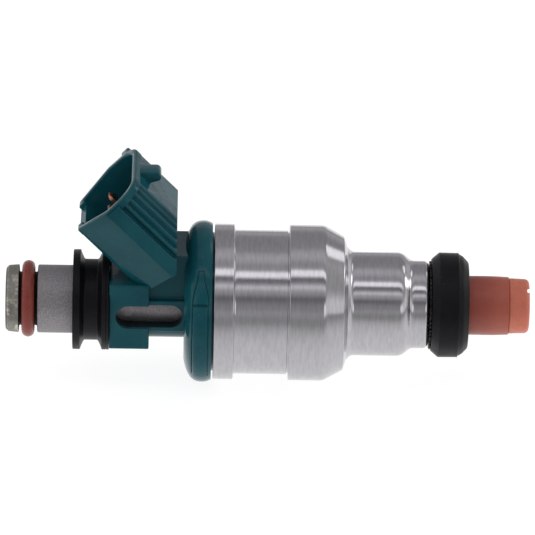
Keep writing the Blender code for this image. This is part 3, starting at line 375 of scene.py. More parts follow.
def sinteredSteelFinish(look):
    tree, shader, place = startFinish("sinteredSteel", Metallic=0.85)
    grain = useGroup(tree, fineGrain, place, Scale=look["grain"], Pits=look["pits"])
    colour = mixColour(tree, rangeNode(tree, grain["Height"], 0.05, 0.85),
                       look["dark"], look["light"])
    along = addNode(tree, "SeparateXYZ", {0: place}).outputs["X"]
    end = rangeNode(tree, along, look["wornReach"] * mm, (look["wornReach"] - 0.6) * mm)
    colour = tint(tree, end, look["oily"], colour, look["olive"])
    spots = addNode(tree, "TexNoise", {
        "Vector": place, "Scale": look["spots"], "Detail": 5.0, "Roughness": 0.75})
    bare = rangeNode(tree, spots.outputs["Fac"], 0.5, 0.66)
    cloud = addNode(tree, "TexNoise", {"Vector": place, "Scale": look["clouds"], "Detail": 3.0})
    stain = mathNode(tree, "MULTIPLY", rangeNode(tree, cloud.outputs["Fac"], 0.5, 0.68), end)
    colour = tint(tree, stain, look["stained"], colour, look["stain"])
    worn = mathNode(tree, "MULTIPLY", bare, end)
    colour = mixColour(tree, worn, colour, look["worn"])
    # painted shade: the colour darkens towards the bottom of the ring groove under the rail
    # ring, where shade falls
    deep, clear, start = look["gland"]
    gland = rangeNode(tree, along, start * mm, (start - 0.15) * mm)
    flat = addNode(tree, "VectorMath", {0: place, 1: (0.0, 1.0, 1.0)}, operation="MULTIPLY")
    away = addNode(tree, "VectorMath", {0: flat.outputs[0]}, operation="LENGTH")
    low = rangeNode(tree, away.outputs["Value"], clear * mm, deep * mm)
    colour = tint(tree, gland, low, colour, look["paintedGrooveShade"])
    roughness = rangeNode(tree, worn, 0.0, 1.0, *look["roughness"])
    endFinish(tree, shader, colour, roughness, grain["Height"], look["bump"])


capPlasticLook = {"grip": (0.38, 0.078, 0.05, 1), "mouth": (0.76, 0.215, 0.128, 1),
                  "change": 6.15, "warm": (1.5, 6.0, 0.3), "handled": (0.27, 0.05, 0.035, 1),
                  "line": (0.2, 0.035, 0.025, 1), "speckle": (0.24, 0.04, 0.03, 1),
                  "marks": 240.0, "grain": 1500.0, "roughness": (0.32, 0.48),
                  "pitch": 1500.0, "length": 60.0, "bump": (0.1, 0.0001)}


def capPlasticFinish(look):
    tree, shader, place = startFinish(
        "capPlastic", Subsurface_Weight=0.25, Subsurface_Scale=0.002,
        Subsurface_Radius=(1.0, 0.35, 0.2))
    marks = useGroup(tree, handlingMarks, place, Scale=look["marks"])
    along = addNode(tree, "SeparateXYZ", {0: place}).outputs["X"]
    front = rangeNode(tree, along, (look["change"] - 0.08) * mm, (look["change"] + 0.08) * mm)
    colour = mixColour(tree, front, look["grip"], look["mouth"])
    begins, full, share = look["warm"]
    warm = rangeNode(tree, along, begins * mm, full * mm)
    colour = tint(tree, warm, share, colour, look["mouth"])
    colour = tint(tree, marks["Value"], 0.22, colour, look["handled"])
    near = addNode(tree, "Math", {0: along, 1: look["change"] * mm, 2: 0.00009},
                   operation="COMPARE")
    colour = tint(tree, near.outputs[0], 0.55, colour, look["line"])
    grain = useGroup(tree, fineGrain, place, Scale=look["grain"], Pits=0.1)
    speckle = rangeNode(tree, grain["Height"], 0.3, 0.8, 0.12, 0.0)
    colour = mixColour(tree, speckle, colour, look["speckle"])
    roughness = rangeNode(tree, marks["Value"], 0.0, 1.0, *look["roughness"])
    bands = useGroup(tree, turnedLines, place, Pitch=look["pitch"], Length=look["length"])
    endFinish(tree, shader, colour, roughness, bands["Height"], look["bump"])


metalLook = {"pitch": 4000.0, "length": 400.0, "marks": 300.0, "streak": 0.25, "wear": 0.14,
             "bump": (0.12, 0.00003)}
metals = {      # colour, handled colour, roughness
    "copper": ((0.62, 0.27, 0.17, 1), (0.30, 0.12, 0.075, 1), 0.26),
    "plainSteel": ((0.46, 0.46, 0.48, 1), (0.33, 0.33, 0.35, 1), 0.3),
    "hardSteel": ((0.55, 0.55, 0.57, 1), (0.44, 0.44, 0.46, 1), 0.14),
    "springSteel": ((0.40, 0.40, 0.41, 1), (0.26, 0.25, 0.25, 1), 0.24),
    "brass": ((0.70, 0.52, 0.24, 1), (0.50, 0.36, 0.16, 1), 0.25),
    # the backing washer is a real part; its near-black colour is painted shade standing for the
    # dark gap behind the crimp
    "washerPaintedShade": ((0.10, 0.10, 0.105, 1), (0.03, 0.03, 0.032, 1), 0.32),
}


def metalFinish(name, light, dark, smooth, look):
    tree, shader, place = startFinish(name, Metallic=1.0)
    lines = useGroup(tree, turnedLines, place, Pitch=look["pitch"], Length=look["length"])
    marks = useGroup(tree, handlingMarks, place, Scale=look["marks"])
    colour = mixColour(tree, marks["Value"], light, dark)
    colour = tint(tree, lines["Streaks"], look["streak"], colour, dark)
    roughness = rangeNode(tree, marks["Value"], 0.0, 1.0, smooth, smooth + look["wear"])
    endFinish(tree, shader, colour, roughness, lines["Height"], look["bump"])


rubber = {"marks": 190.0, "grain": 2600.0, "pits": 0.12, "dust": (0.22, 0.22, 0.22, 1)}
moulded = {"marks": 220.0, "grain": 1800.0, "pits": 0.05, "bump": (0.12, 0.00008)}
softLooks = {
    "blackRubber": {**rubber, "colours": ((0.0032, 0.0035, 0.0048, 1), (0.007, 0.0075, 0.01, 1)),
                    "roughness": (0.36, 0.5), "specular": 0.17, "dusty": 0.14,
                    "bump": (0.15, 0.00008)},
    "redRubber": {**rubber, "colours": ((0.235, 0.043, 0.031, 1), (0.30, 0.06, 0.044, 1)),
                  "roughness": (0.24, 0.38), "specular": 0.3, "dusty": 0.1,
                  "bump": (0.08, 0.00008)},
    "bobbinPlastic": {**moulded, "colours": ((0.030, 0.030, 0.033, 1), (0.05, 0.05, 0.055, 1)),
                      "roughness": (0.4, 0.55)},
    "nylon": {**moulded, "colours": ((0.62, 0.58, 0.47, 1), (0.50, 0.45, 0.34, 1)),
              "roughness": (0.38, 0.53)},
}


def softFinish(name, look):
    tree, shader, place = startFinish(name)
    marks = useGroup(tree, handlingMarks, place, Scale=look["marks"])
    grain = useGroup(tree, fineGrain, place, Scale=look["grain"], Pits=look["pits"])
    colour = mixColour(tree, marks["Value"], *look["colours"])
    if "dusty" in look:
        shader.inputs["Specular IOR Level"].default_value = look["specular"]
        colour = tint(tree, marks["Specks"], look["dusty"], colour, look["dust"])
    roughness = rangeNode(tree, marks["Value"], 0.0, 1.0, *look["roughness"])
    endFinish(tree, shader, colour, roughness, grain["Height"], look["bump"])


brushedSteelFinish(brushedSteelLook)
tealPlasticFinish(tealPlasticLook)
sinteredSteelFinish(sinteredSteelLook)
capPlasticFinish(capPlasticLook)
for name, look in metals.items():
    metalFinish(name, *look, metalLook)
for name, look in softLooks.items():
    softFinish(name, look)
print("finishes mixed")


# shapes are worked out in millimetres
def softOutline(points, step=12.0, support=0.05):
    # a closed outline; a third value at a corner is its rounding
    outline = []
    for before, corner, after in zip(points[-1:] + points[:-1], points, points[1:] + points[:1]):
        here = Vector(corner[:2])
        if len(corner) < 3:
            outline.append(here)
            continue
        back, ahead = Vector(before[:2]) - here, Vector(after[:2]) - here
        angle = back.angle(ahead)
        reach = min(corner[2] / math.tan(angle / 2), 0.49 * back.length, 0.49 * ahead.length)
        radius = reach * math.tan(angle / 2)
        middle = (back.normalized() + ahead.normalized()).normalized()
        centre = here + middle * radius / math.sin(angle / 2)
        start = here + back.normalized() * reach - centre
        sweep = -start.angle_signed(here + ahead.normalized() * reach - centre)
        count = max(2, math.ceil(math.degrees(abs(sweep)) / step))
        for i in range(count + 1):
            outline.append(centre + Matrix.Rotation(sweep * i / count, 2) @ start)
    held = []
    for here, after in zip(outline, outline[1:] + outline[:1]):
        held.append(here)
        gap = after - here
        if gap.length > 4 * support:
            held += [here + gap.normalized() * support, after - gap.normalized() * support]
    return [tuple(point) for point in held]


def smoothThrough(points, steps=4):
    # a smooth open line through its points
    line = []
    ends = [points[0]] + list(points) + [points[-1]]
    for a, b, c, d in zip(ends, ends[1:], ends[2:], ends[3:]):
        a, b, c, d = Vector(a), Vector(b), Vector(c), Vector(d)
        for i in range(steps):
            t = i / steps
            line.append(tuple(0.5 * (2 * b + (c - a) * t + (2 * a - 5 * b + 4 * c - d) * t * t
                                     + (3 * b - a - 3 * c + d) * t ** 3)))
    return line + [tuple(points[-1])]


def inset(outline, distance):
    area = sum(a[0] * b[1] - b[0] * a[1] for a, b in zip(outline, outline[1:] + outline[:1]))
    side = distance if area > 0 else -distance
    moved = []
    for a, b, c in zip(outline[-1:] + outline[:-1], outline, outline[1:] + outline[:1]):
        into = (Vector(b) - Vector(a)).normalized()
        out = (Vector(c) - Vector(b)).normalized()
        first, second = Vector((-into.y, into.x)), Vector((-out.y, out.x))
        shift = (first + second) / max(0.35, 1 + first.dot(second))
        moved.append((b[0] + shift.x * side, b[1] + shift.y * side))
    return moved


def finishMesh(obj, sharpAngle=32.0):
    mesh = obj.data
    bm = bmesh.new()
    bm.from_mesh(mesh)
    bmesh.ops.remove_doubles(bm, verts=bm.verts, dist=1e-7)
    bmesh.ops.dissolve_degenerate(bm, edges=bm.edges, dist=1e-7)
    bmesh.ops.recalc_face_normals(bm, faces=bm.faces)
    bm.to_mesh(mesh)
    bm.free()
    mesh.shade_smooth()
    mesh.set_sharp_from_angle(angle=math.radians(sharpAngle))
    return obj


def newObject(name, mesh):
    obj = bpy.data.objects.new(name, mesh)
    scene.collection.objects.link(obj)
    return obj


def coat(obj, finish):
    obj.data.materials.clear()
    obj.data.materials.append(finishes[finish])


def loft(name, rings):
    bm = bmesh.new()
    rows = [[bm.verts.new(Vector(point) * mm) for point in ring] for ring in rings]
    for low, high in zip(rows, rows[1:]):
        for a, b, c, d in zip(low, low[1:] + low[:1], high[1:] + high[:1], high):
            bm.faces.new((a, b, c, d))
    bm.faces.new(rows[0])
    bm.faces.new(rows[-1])
    mesh = bpy.data.meshes.new(name)
    bm.to_mesh(mesh)
    bm.free()
    return finishMesh(newObject(name, mesh))


def roundedEnd(at, radius, way, steps=4):
    # places and insets from one end of a prism to where its rounding stops
    if not radius:
        return [(at, 0.0)]
    turns = [math.pi / 2 * i / steps for i in range(steps + 1)]
    return [(at + way * radius * (1 - math.cos(t)), radius * (1 - math.sin(t))) for t in turns]


def prism(name, outline, low, high, place, lowRound=0.0, highRound=0.0):
    # an outline pushed from low to high, its end edges rounded inwards
    rings = []
    for at, cut in roundedEnd(low, lowRound, 1) + roundedEnd(high, highRound, -1)[::-1]:
        flat = inset(outline, cut) if cut else outline
        rings.append([place(a, b, at) for a, b in flat])
    return loft(name, rings)


def alongX(a, b, c):      # an outline of (y, z) points
    return (c, a, b)


def alongY(a, b, c):      # an outline of (x, z) points
    return (a, c, b)


def roundedRectangle(lowA, highA, lowB, highB, radius):
    return softOutline([(lowA, lowB, radius), (highA, lowB, radius), (highA, highB, radius),
                        (lowA, highB, radius)], step=15.0)


def pieceTree(name, **inputs):
    # a Geometry Nodes tree, what it is given, and the keys of its inputs
    tree = bpy.data.node_groups.new(name, "GeometryNodeTree")
    face = tree.interface
    face.new_socket("Geometry", in_out="INPUT", socket_type="NodeSocketGeometry")
    inputs["Finish"] = "Material"
    keys = [face.new_socket(label, in_out="INPUT", socket_type="NodeSocket" + kind).identifier
            for label, kind in inputs.items()]
    face.new_socket("Geometry", in_out="OUTPUT", socket_type="NodeSocketGeometry")
    return tree, tree.nodes.new("NodeGroupInput").outputs, keys


def endPiece(tree, given, shape):
    real = addNode(tree, "GeometryNodeRealizeInstances", {0: shape})
    coated = addNode(tree, "GeometryNodeSetMaterial", {
        "Geometry": real.outputs[0], "Material": given["Finish"]})
    made = tree.nodes.new("NodeGroupOutput")
    tree.links.new(coated.outputs[0], made.inputs[0])


def turnedTree():
    # turns a profile of (along, 0, radius) points about the X axis
    tree, given, keys = pieceTree("turnedPiece", Sides="Int")
    size = addNode(tree, "GeometryNodeAttributeDomainSize", {0: given["Geometry"]})
    count = size.outputs["Point Count"]
    rows = mathNode(tree, "ADD", count, 1.0)
    columns = mathNode(tree, "ADD", given["Sides"], 1.0)
    grid = addNode(tree, "GeometryNodeMeshGrid", {"Vertices X": rows, "Vertices Y": columns})
    index = addNode(tree, "GeometryNodeInputIndex").outputs[0]
    row = mathNode(tree, "FLOOR", mathNode(tree, "DIVIDE", mathNode(tree, "ADD", index, 0.5),
                                           columns))
    column = mathNode(tree, "SUBTRACT", index, mathNode(tree, "MULTIPLY", row, columns))
    point = mathNode(tree, "MODULO", row, count)
    place = addNode(tree, "GeometryNodeInputPosition").outputs[0]
    sample = tree.nodes.new("GeometryNodeSampleIndex")
    sample.data_type = "FLOAT_VECTOR"
    for value, socket in ((given["Geometry"], "Geometry"), (place, "Value"), (point, "Index")):
        tree.links.new(value, sample.inputs[socket])
    profile = addNode(tree, "SeparateXYZ", {0: sample.outputs[0]}).outputs
    spin = mathNode(tree, "MULTIPLY", mathNode(tree, "DIVIDE", column, given["Sides"]),
                    2 * math.pi)
    across = mathNode(tree, "MULTIPLY", profile["Z"], mathNode(tree, "SINE", spin))
    up = mathNode(tree, "MULTIPLY", profile["Z"], mathNode(tree, "COSINE", spin))
    spot = addNode(tree, "CombineXYZ", {0: profile["X"], 1: across, 2: up})
    moved = addNode(tree, "GeometryNodeSetPosition", {
        "Geometry": grid.outputs["Mesh"], "Position": spot.outputs[0]})
    merged = addNode(tree, "GeometryNodeMergeByDistance", {
        "Geometry": moved.outputs[0], "Distance": 1e-6})
    endPiece(tree, given, merged.outputs[0])
    return tree, keys


turning = turnedTree()


def keepResult(obj):
    # the object's modifiers are carried out and their result kept as a plain mesh
    graph = bpy.context.evaluated_depsgraph_get()
    mesh = bpy.data.meshes.new_from_object(obj.evaluated_get(graph), depsgraph=graph)
    obj.modifiers.clear()
    obj.data = mesh
    mesh.name = obj.name


def bakeNodes(obj, piece, *values):
    tree, keys = piece
    modifier = obj.modifiers.new("nodes", "NODES")
    modifier.node_group = tree
    for key, value in zip(keys, values):
        modifier[key] = value
    keepResult(obj)


def turned(name, outline, station, finish="brushedSteel", sides=160, sharpAngle=32.0):
    mesh = bpy.data.meshes.new(name + "Profile")
    points = [((station + along) * mm, 0, radius * mm) for along, radius in outline]
    mesh.from_pydata(points, [(i, (i + 1) % len(points)) for i in range(len(points))], [])
    obj = newObject(name, mesh)
    bakeNodes(obj, turning, sides, finishes[finish])
    return finishMesh(obj, sharpAngle)


def combine(body, shapes, operation):
    for shape in shapes:
        boolean = body.modifiers.new(shape.name, "BOOLEAN")
        boolean.operation = operation
        boolean.solver = "EXACT"
        boolean.object = shape
        shape.hide_render = True
    keepResult(body)
    for shape in shapes:
        bpy.data.objects.remove(shape)


def standIn(piece, slot, *nodes):
    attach(piece, "injector")
    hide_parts(*nodes)


def ends(node):
    low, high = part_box(node)
    return low.x / mm, high.x / mm


housing = {
    "band": 11.78, "waist": 10.9, "neck": 7.86, "end": 6.64, "rearBand": 3.0, "waistEnd": 11.1,
    "frontBand": 11.35, "coneStart": 16.6, "coneEnd": 19.62, "coneEndRadius": 10.12,
    "neckStart": 20.1, "neckEnd": 28.4, "endStart": 29.85, "undercut": 0.24, "bore": 10.1,
    "crimp": 0.95, "crimpBore": 5.0, "endRound": 0.85, "nozzleBore": 6.25,
    "throat": (16.3, 22.2), "throatBore": 4.3, "coilStart": 2.65, "coilBore": 9.6,
}


def buildHousing(size):
    rear, front = ends("housing")
    length = front - rear
    crimp = length - size["crimp"]
    coilEnd, throatEnd = size["throat"]
    outline = softOutline([
        (0, size["bore"]),
        (0, size["band"], 0.16),
        (size["rearBand"], size["band"], 0.2),
        (size["rearBand"] + 0.12, size["waist"] + 0.05, 0.05),
        (size["rearBand"] + 0.3, size["waist"], 0.1),
        (size["waistEnd"], size["waist"], 0.08),
        (size["waistEnd"] + 0.02, size["waist"] - size["undercut"]),
        (size["frontBand"] - 0.02, size["waist"] - size["undercut"]),
        (size["frontBand"], size["band"], 0.16),
        (size["coneStart"], size["band"], 1.5),
        (size["coneEnd"], size["coneEndRadius"], 0.35),
        (size["neckStart"], size["neck"] + 0.75, 0.5),
        (size["neckStart"] + 0.75, size["neck"], 0.9),
        (size["neckEnd"], size["neck"], 1.9),
        (size["endStart"], size["end"], 1.3),
        (length, size["end"], size["endRound"]),
        (length, size["crimpBore"], 0.1),
        (crimp, size["crimpBore"]),
        (crimp, size["nozzleBore"]),
        (throatEnd, size["nozzleBore"]),
        (throatEnd, size["throatBore"]),
        (coilEnd, size["throatBore"]),
        (coilEnd, size["coilBore"]),
        (size["coilStart"], size["coilBore"]),
        (size["coilStart"], size["bore"]),
    ], step=10.0)
    piece = turned("housing", outline, rear, sides=192)
    piece.name = "steelHousing"
    standIn(piece, "brushed_steel", "housing")


buildHousing(housing)
print("housing turned")


seal = {"radius": 7.95, "rearRadius": 7.05, "noseRadius": 6.5, "chamfer": 1.15, "nose": 1.6,
        "flash": 0.05, "bore": 4.53}


def buildManifoldSeal(size):
    rear, front = ends("manifold_seal")
    length = front - rear
    nose = length - size["nose"]
    outline = softOutline([
        (0, size["bore"], 0.2),
        (0, size["rearRadius"] - 0.1, 0.25),
        (size["chamfer"], size["radius"] - 0.02, 0.12),
        (nose - 0.1, size["radius"] - size["flash"], 0.05),
        (nose - 0.04, size["radius"]),
        (nose + 0.03, size["radius"]),
        (nose + 0.1, size["radius"] - size["flash"] - 0.14, 0.05),
        (nose + 0.75, size["radius"] - 0.55, 0.9),
        (length, size["noseRadius"], 0.5),
        (length, size["bore"], 0.25),
    ])
    piece = turned("manifoldSeal", outline, rear, "blackRubber")
    standIn(piece, "black_rubber", "manifold_seal")


washer = {"radius": 6.35, "tooth": 0.5, "teeth": 56, "thickness": 0.24, "bore": 4.6,
          "root": 0.3, "uneven": 0.05, "seed": 7}


def toothedRingTree(seed):
    # spreads one tooth around the X axis
    tree, given, keys = pieceTree("toothedRing", Teeth="Int", Uneven="Float")
    spots = addNode(tree, "GeometryNodeMeshLine", {"Count": given["Teeth"], "Offset": (0, 0, 0)})
    index = addNode(tree, "GeometryNodeInputIndex").outputs[0]
    spin = mathNode(tree, "MULTIPLY", mathNode(tree, "DIVIDE", index, given["Teeth"]),
                    2 * math.pi)
    low = mathNode(tree, "SUBTRACT", 1.0, given["Uneven"])
    chance = addNode(tree, "FunctionNodeRandomValue", {2: low, 3: 1.0, "Seed": seed},
                     data_type="FLOAT").outputs[1]
    turn = addNode(tree, "CombineXYZ", {0: spin, 1: 0.0, 2: 0.0})
    stretch = addNode(tree, "CombineXYZ", {0: 1.0, 1: chance, 2: chance})
    placed = addNode(tree, "GeometryNodeInstanceOnPoints", {
        "Points": spots.outputs[0], "Instance": given["Geometry"],
        "Rotation": turn.outputs[0], "Scale": stretch.outputs[0]})
    endPiece(tree, given, placed.outputs[0])
    return tree, keys


def buildBackingWasher(size):
    rear, front = ends("backing_washer")
    middle = (rear + front) / 2
    half = size["thickness"] / 2
    # the ring and its teeth take the near-black washer finish, painted shade for the gap behind
    # the crimp
    ring = turned("backingWasher", softOutline([
        (-half, size["bore"], 0.04), (-half, size["radius"], 0.06), (half, size["radius"], 0.06),
        (half, size["bore"], 0.04)]), middle, "washerPaintedShade", sides=128)
    width = math.pi * size["radius"] / size["teeth"]
    root, tip = size["radius"] - size["root"], size["radius"] + size["tooth"]
    tooth = softOutline([(-width * 0.5, root), (width * 0.5, root), (width * 0.3, tip, 0.06),
                         (-width * 0.3, tip, 0.06)], step=30.0, support=1.0)
    teeth = prism("washerTeeth", tooth, middle - half * 0.8, middle + half * 0.8, alongX)
    bakeNodes(teeth, toothedRingTree(size["seed"]), size["teeth"], size["uneven"],
              finishes["washerPaintedShade"])
    finishMesh(teeth)
    standIn(ring, "plain_steel", "backing_washer")
    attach(teeth, "injector")


cap = {"radius": 4.53, "rearRadius": 4.46, "stepRadius": 4.38, "mouthRadius": 4.2,
       "mouth": 3.1, "endRound": 0.75, "bore": 3.43, "sprayHole": 2.3, "endWall": 1.6,
       "stations": (5.25, 7.6, 9.2),
       "notchWidth": 0.55, "notchDepth": 0.42, "notchLift": 2.3, "notchTilt": 23.6}


def buildNozzleCap(size):
    rear, front = ends("nozzle_cap")
    length = front - rear
    mouth = length - size["mouth"]
    first, second, third = size["stations"]
    barrel = smoothThrough([(first, size["rearRadius"]), (second, size["radius"] - 0.05),
                            (third, size["radius"] - 0.07), (mouth - 0.05, size["stepRadius"])])
    outline = softOutline([
        (length - size["endWall"], size["bore"]),
        (length - size["endWall"], size["sprayHole"]),
        (length, size["sprayHole"], 0.2),
        (length, size["mouthRadius"] - 0.12, size["endRound"]),
        (mouth + 0.1, size["mouthRadius"], 0.1),
        (mouth + 0.04, size["mouthRadius"] - 0.05),
    ] + barrel[::-1] + [
        (0, size["rearRadius"], 0.2),
        (0, size["bore"]),
    ])
    piece = turned("nozzleCap", outline, rear, "capPlastic")
    rise = math.radians(size["notchTilt"])
    half = size["notchWidth"] / 2

    def tilted(a, b, c):
        across, up = c, a + size["notchLift"]
        return (b, -across * math.cos(rise) + up * math.sin(rise),
                across * math.sin(rise) + up * math.cos(rise))
    cut = prism("capNotch", softOutline([
        (-half, front - size["notchDepth"], 0.15), (half, front - size["notchDepth"], 0.15),
        (half, front + 1), (-half, front + 1)]), -6, 6, tilted)
    combine(piece, [cut], "DIFFERENCE")
    finishMesh(piece)
    coat(piece, "capPlastic")
    standIn(piece, "cap_plastic", "nozzle_cap")


buildManifoldSeal(seal)
buildBackingWasher(washer)
buildNozzleCap(cap)
print("nozzle end built")


inlet = {"radius": 5.15, "flange": 1.95, "groove": 2.85, "grooveRadius": 4.05, "bore": 3.4,
         "filterBore": 11.0, "fuelBore": 2.0, "core": 4.15, "shoulder": 16.4,
         "mark": (1.15, -51.6, 0.25, 0.1)}      # radius, station, height, how proud


def buildInletTube(size):
    rear, front = ends("inlet_tube")
    tube = size["flange"] + size["groove"]
    outline = softOutline([
        (0.05, size["bore"], 0.25),
        (0, size["radius"] - 0.55, 0.25),
        (0.42, size["radius"] - 0.14, 0.35),
        (size["flange"], size["radius"], 0.12),
        (size["flange"] + 0.05, size["grooveRadius"], 0.2),
        (tube - 0.05, size["grooveRadius"], 0.2),
        (tube, size["radius"], 0.2),
        (size["shoulder"], size["radius"]),
        (size["shoulder"], size["core"]),
        (front - rear, size["core"]),
        (front - rear, size["fuelBore"]),
        (size["filterBore"], size["fuelBore"]),
        (size["filterBore"], size["bore"]),
    ])
    piece = turned("inletTube", outline, rear, "sinteredSteel")
    standIn(piece, "sintered_steel", "inlet_tube")
    radius, at, up, proud = size["mark"]
    circle = [(at + radius * math.cos(t), up + radius * math.sin(t))
              for t in (2 * math.pi * i / 48 for i in range(48))]
    mark = prism("punchMark", circle, -size["core"] - proud, -size["core"] + 0.4, alongY, 0.08)
    coat(mark, "sinteredSteel")
    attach(mark, "injector")


railRing = {"section": 1.9, "outer": 5.82, "inner": 4.1, "seam": 0.02}


def buildRailRing(size):
    rear, front = ends("rail_ring")
    middle = (rear + front) / 2
    centre = (size["outer"] + size["inner"]) / 2
    outline = []
    for i in range(40):
        angle = 2 * math.pi * i / 40
        seam = size["seam"] if i == 10 else 0.0      # flash line of the mould, outermost
        outline.append((size["section"] / 2 * math.cos(angle),
                        centre + ((size["outer"] - size["inner"]) / 2 - 0.02) * math.sin(angle)
                        + seam))
    piece = turned("railRing", outline, middle, "redRubber", sharpAngle=60.0)
    standIn(piece, "red_rubber", "rail_ring")


grommet = {"radius": 7.58, "waist": 6.13, "bore": 5.2, "flange": 1.08, "taper": 0.62}


def buildRailGrommet(size):
    rear, front = ends("rail_grommet")
    length = front - rear
    flange, taper = size["flange"], size["taper"]
    outline = softOutline([
        (0, size["bore"], 0.15),
        (0, size["radius"] - 0.02, 0.1),
        (flange, size["radius"], 0.08),
        (flange + 0.22, size["radius"] - 0.62, 0.3),
        (flange + taper, size["waist"], 0.35),
        (length - flange - taper, size["waist"], 0.35),
        (length - flange - 0.22, size["radius"] - 0.62, 0.3),
        (length - flange, size["radius"], 0.08),
        (length - 0.52, size["radius"], 0.02),
        (length - 0.48, size["radius"] - 0.08),
        (length - 0.42, size["radius"] - 0.08),
        (length - 0.38, size["radius"], 0.02),
        (length, size["radius"], 0.1),
        (length, size["bore"], 0.15),
    ])
    piece = turned("railGrommet", outline, rear, "blackRubber")
    standIn(piece, "black_rubber", "rail_grommet")


buildInletTube(inlet)
buildRailRing(railRing)
buildRailGrommet(grommet)
print("inlet end built")


collar = {"length": 4.35, "gap": 0.12, "bore": 3.0,
          "shape": ((0, 8.75), (0.14, 9.45), (0.4, 10.3), (0.75, 11.05), (1.15, 11.62),
                    (1.75, 12.04), (2.45, 12.22), (3.15, 12.22), (3.75, 12.06), (4.18, 11.84)),
          "lineAt": 4.2, "lineRadius": 10.5, "reach": 4.43,
          "panelX": (1.27, 3.6), "panelArc": (-43.5, 20.0), "panelProud": 0.17,
          "bossArc": (21.0, 45.0), "bossX": 2.5, "bossHalf": (1.2, 0.4), "bossProud": 0.19,
          "padRadius": 12.4, "padEdge": 0.13, "moatRadius": 12.2, "moat": (0.1, 0.09)}
neck = {"length": 5.25, "radius": 5.52, "padHalf": 6.0, "padHeight": 2.5, "webHalf": 5.05,
        "webTop": 9.42}
block = {"length": 6.0, "halfWidth": 6.6, "halfHeight": 5.27, "corner": 0.34, "round": 0.2}
slot = {"length": 10.1, "height": 3.7, "frontWall": 0.2}
shroud = {"setback": 0.84, "lift": 3.61, "depth": 14.2, "height": 12.1, "bottomHalf": 5.3,
          "middleHalf": 9.0, "topHalf": 5.2, "ribStart": 6.0, "ribHeight": 2.3,
          "ribProud": 0.5, "ribSetback": 0.35, "wall": 1.0, "lip": 1.1, "lipProud": 0.05,
          "rearPlane": 1.2, "key": (8.6, 10.2, 7.7, 10.6),
          "grooves": (3.0, 21.0, 39.0, 57.0, 75.0), "grooveDepth": 0.46,
          "grooveHalf": 4.8,
          "socketDepth": 8.0, "earWidth": 1.7, "earLength": 0.6, "lugHalf": 1.75,
          "lugRise": 2.2, "lugSetback": 0.8, "lugLength": 3.3, "lipRound": 0.28,
          "mouthRound": 0.22, "tubeBore": (5.2, 4.2, 0.75)}      # rear, front, depth of the rear

housingRear = ends("housing")[0]
collarFront = housingRear - collar["gap"]
collarRear = collarFront - collar["length"]
blockFront = collarRear - neck["length"]
blockRear = blockFront - block["length"]
shroudCornerX = blockFront - shroud["setback"]


def inShroud(u, v, w):
    # u towards the latch, v across, w out of the mouth
    half = math.sqrt(0.5)
    return (shroudCornerX + (u - w) * half, v, shroud["lift"] + (u + w) * half)


def shroudHalf(size, ribbed):
    shoulder = size["ribStart"] + size["ribHeight"]
    rise = size["height"] - shoulder
    inward = size["middleHalf"] - size["topHalf"]
    points = [(0, size["bottomHalf"], 0.6), (0.55, size["bottomHalf"] + 0.48, 0.6)]
    if ribbed:
        proud = size["middleHalf"] + size["ribProud"]
        points += [(size["ribStart"], size["middleHalf"], 0.1),
                   (size["ribStart"] + 0.04, proud, 0.14), (shoulder, proud, 0.14),
                   (shoulder + 0.03, size["middleHalf"] - 0.1, 0.08)]
    else:
        points += [(size["ribStart"], size["middleHalf"], 1.2)]
    steps = 72
    for i in range(1 if ribbed else 0, steps + 1):
        degrees = 90 * i / steps
        angle = math.radians(degrees)
        cut = 0.0
        if ribbed:
            cut = size["grooveDepth"] * sum(
                math.exp(-((degrees - at) / size["grooveHalf"]) ** 2) for at in size["grooves"])
        points.append((shoulder + (rise - cut) * math.sin(angle),
                       size["topHalf"] + (inward - cut) * math.cos(angle)))
    return points


def mirrored(half):
    return half + [(point[0], -point[1], *point[2:]) for point in half[::-1]]


def shroudSection(size, ribbed):
    return softOutline(mirrored(shroudHalf(size, ribbed)), step=15.0, support=0.06)


def socketSection(size):
    wall = size["wall"]
    shoulder = size["ribStart"] + size["ribHeight"]
    half = [(wall, size["bottomHalf"] - 0.5 * wall, 0.4),
            (size["ribStart"] + 0.3, size["middleHalf"] - 1.1 * wall, 0.8)]
    top, width = size["height"] - 0.9 * wall, size["topHalf"] - 0.55
    for i in range(13):
        angle = math.pi / 2 * i / 12
        half.append((shoulder - 0.2 + (top - shoulder + 0.2) * math.sin(angle),
                     width + (size["middleHalf"] - 1.25 * wall - width) * math.cos(angle)))
    return softOutline(mirrored(half), step=15.0, support=0.06)


def neckSection(size):
    start = math.asin(size["padHeight"] / size["radius"])
    half = []
    for i in range(25):
        angle = math.pi / 2 - (math.pi / 2 - start) * i / 24
        half.append((size["radius"] * math.cos(angle), -size["radius"] * math.sin(angle)))
    half[0] = (0.0, -size["radius"])
    half += [(size["padHalf"], -size["padHeight"], 0.18),
             (size["padHalf"], size["padHeight"], 0.18),
             (size["webHalf"], size["padHeight"] + 0.02, 0.2),
             (size["webHalf"], size["webTop"], 0.3)]
    return softOutline(half + [(-point[0], *point[1:]) for point in half[:0:-1]], step=15.0)


def collarRadius(at):
    shape = collar["shape"]
    for (a, low), (b, high) in zip(shape, shape[1:]):
        if a <= at <= b:
            return low + (high - low) * (at - a) / (b - a)
    return shape[-1][1] if at > shape[-1][0] else shape[0][1]


def edgeShares(length, edge, count):
    # shares of a length, close together near its two ends
    near = [edge * i / 4 / length for i in range(4)]
    middle = [edge / length + (1 - 2 * edge / length) * i / count for i in range(count + 1)]
    return near + middle + [1 - share for share in near[::-1]]


def roundCollar(angle, ring):
    # (along, radius) points stood at an angle round the collar
    return [(collarRear + at, -radius * math.cos(angle), radius * math.sin(angle))
            for at, radius in ring]


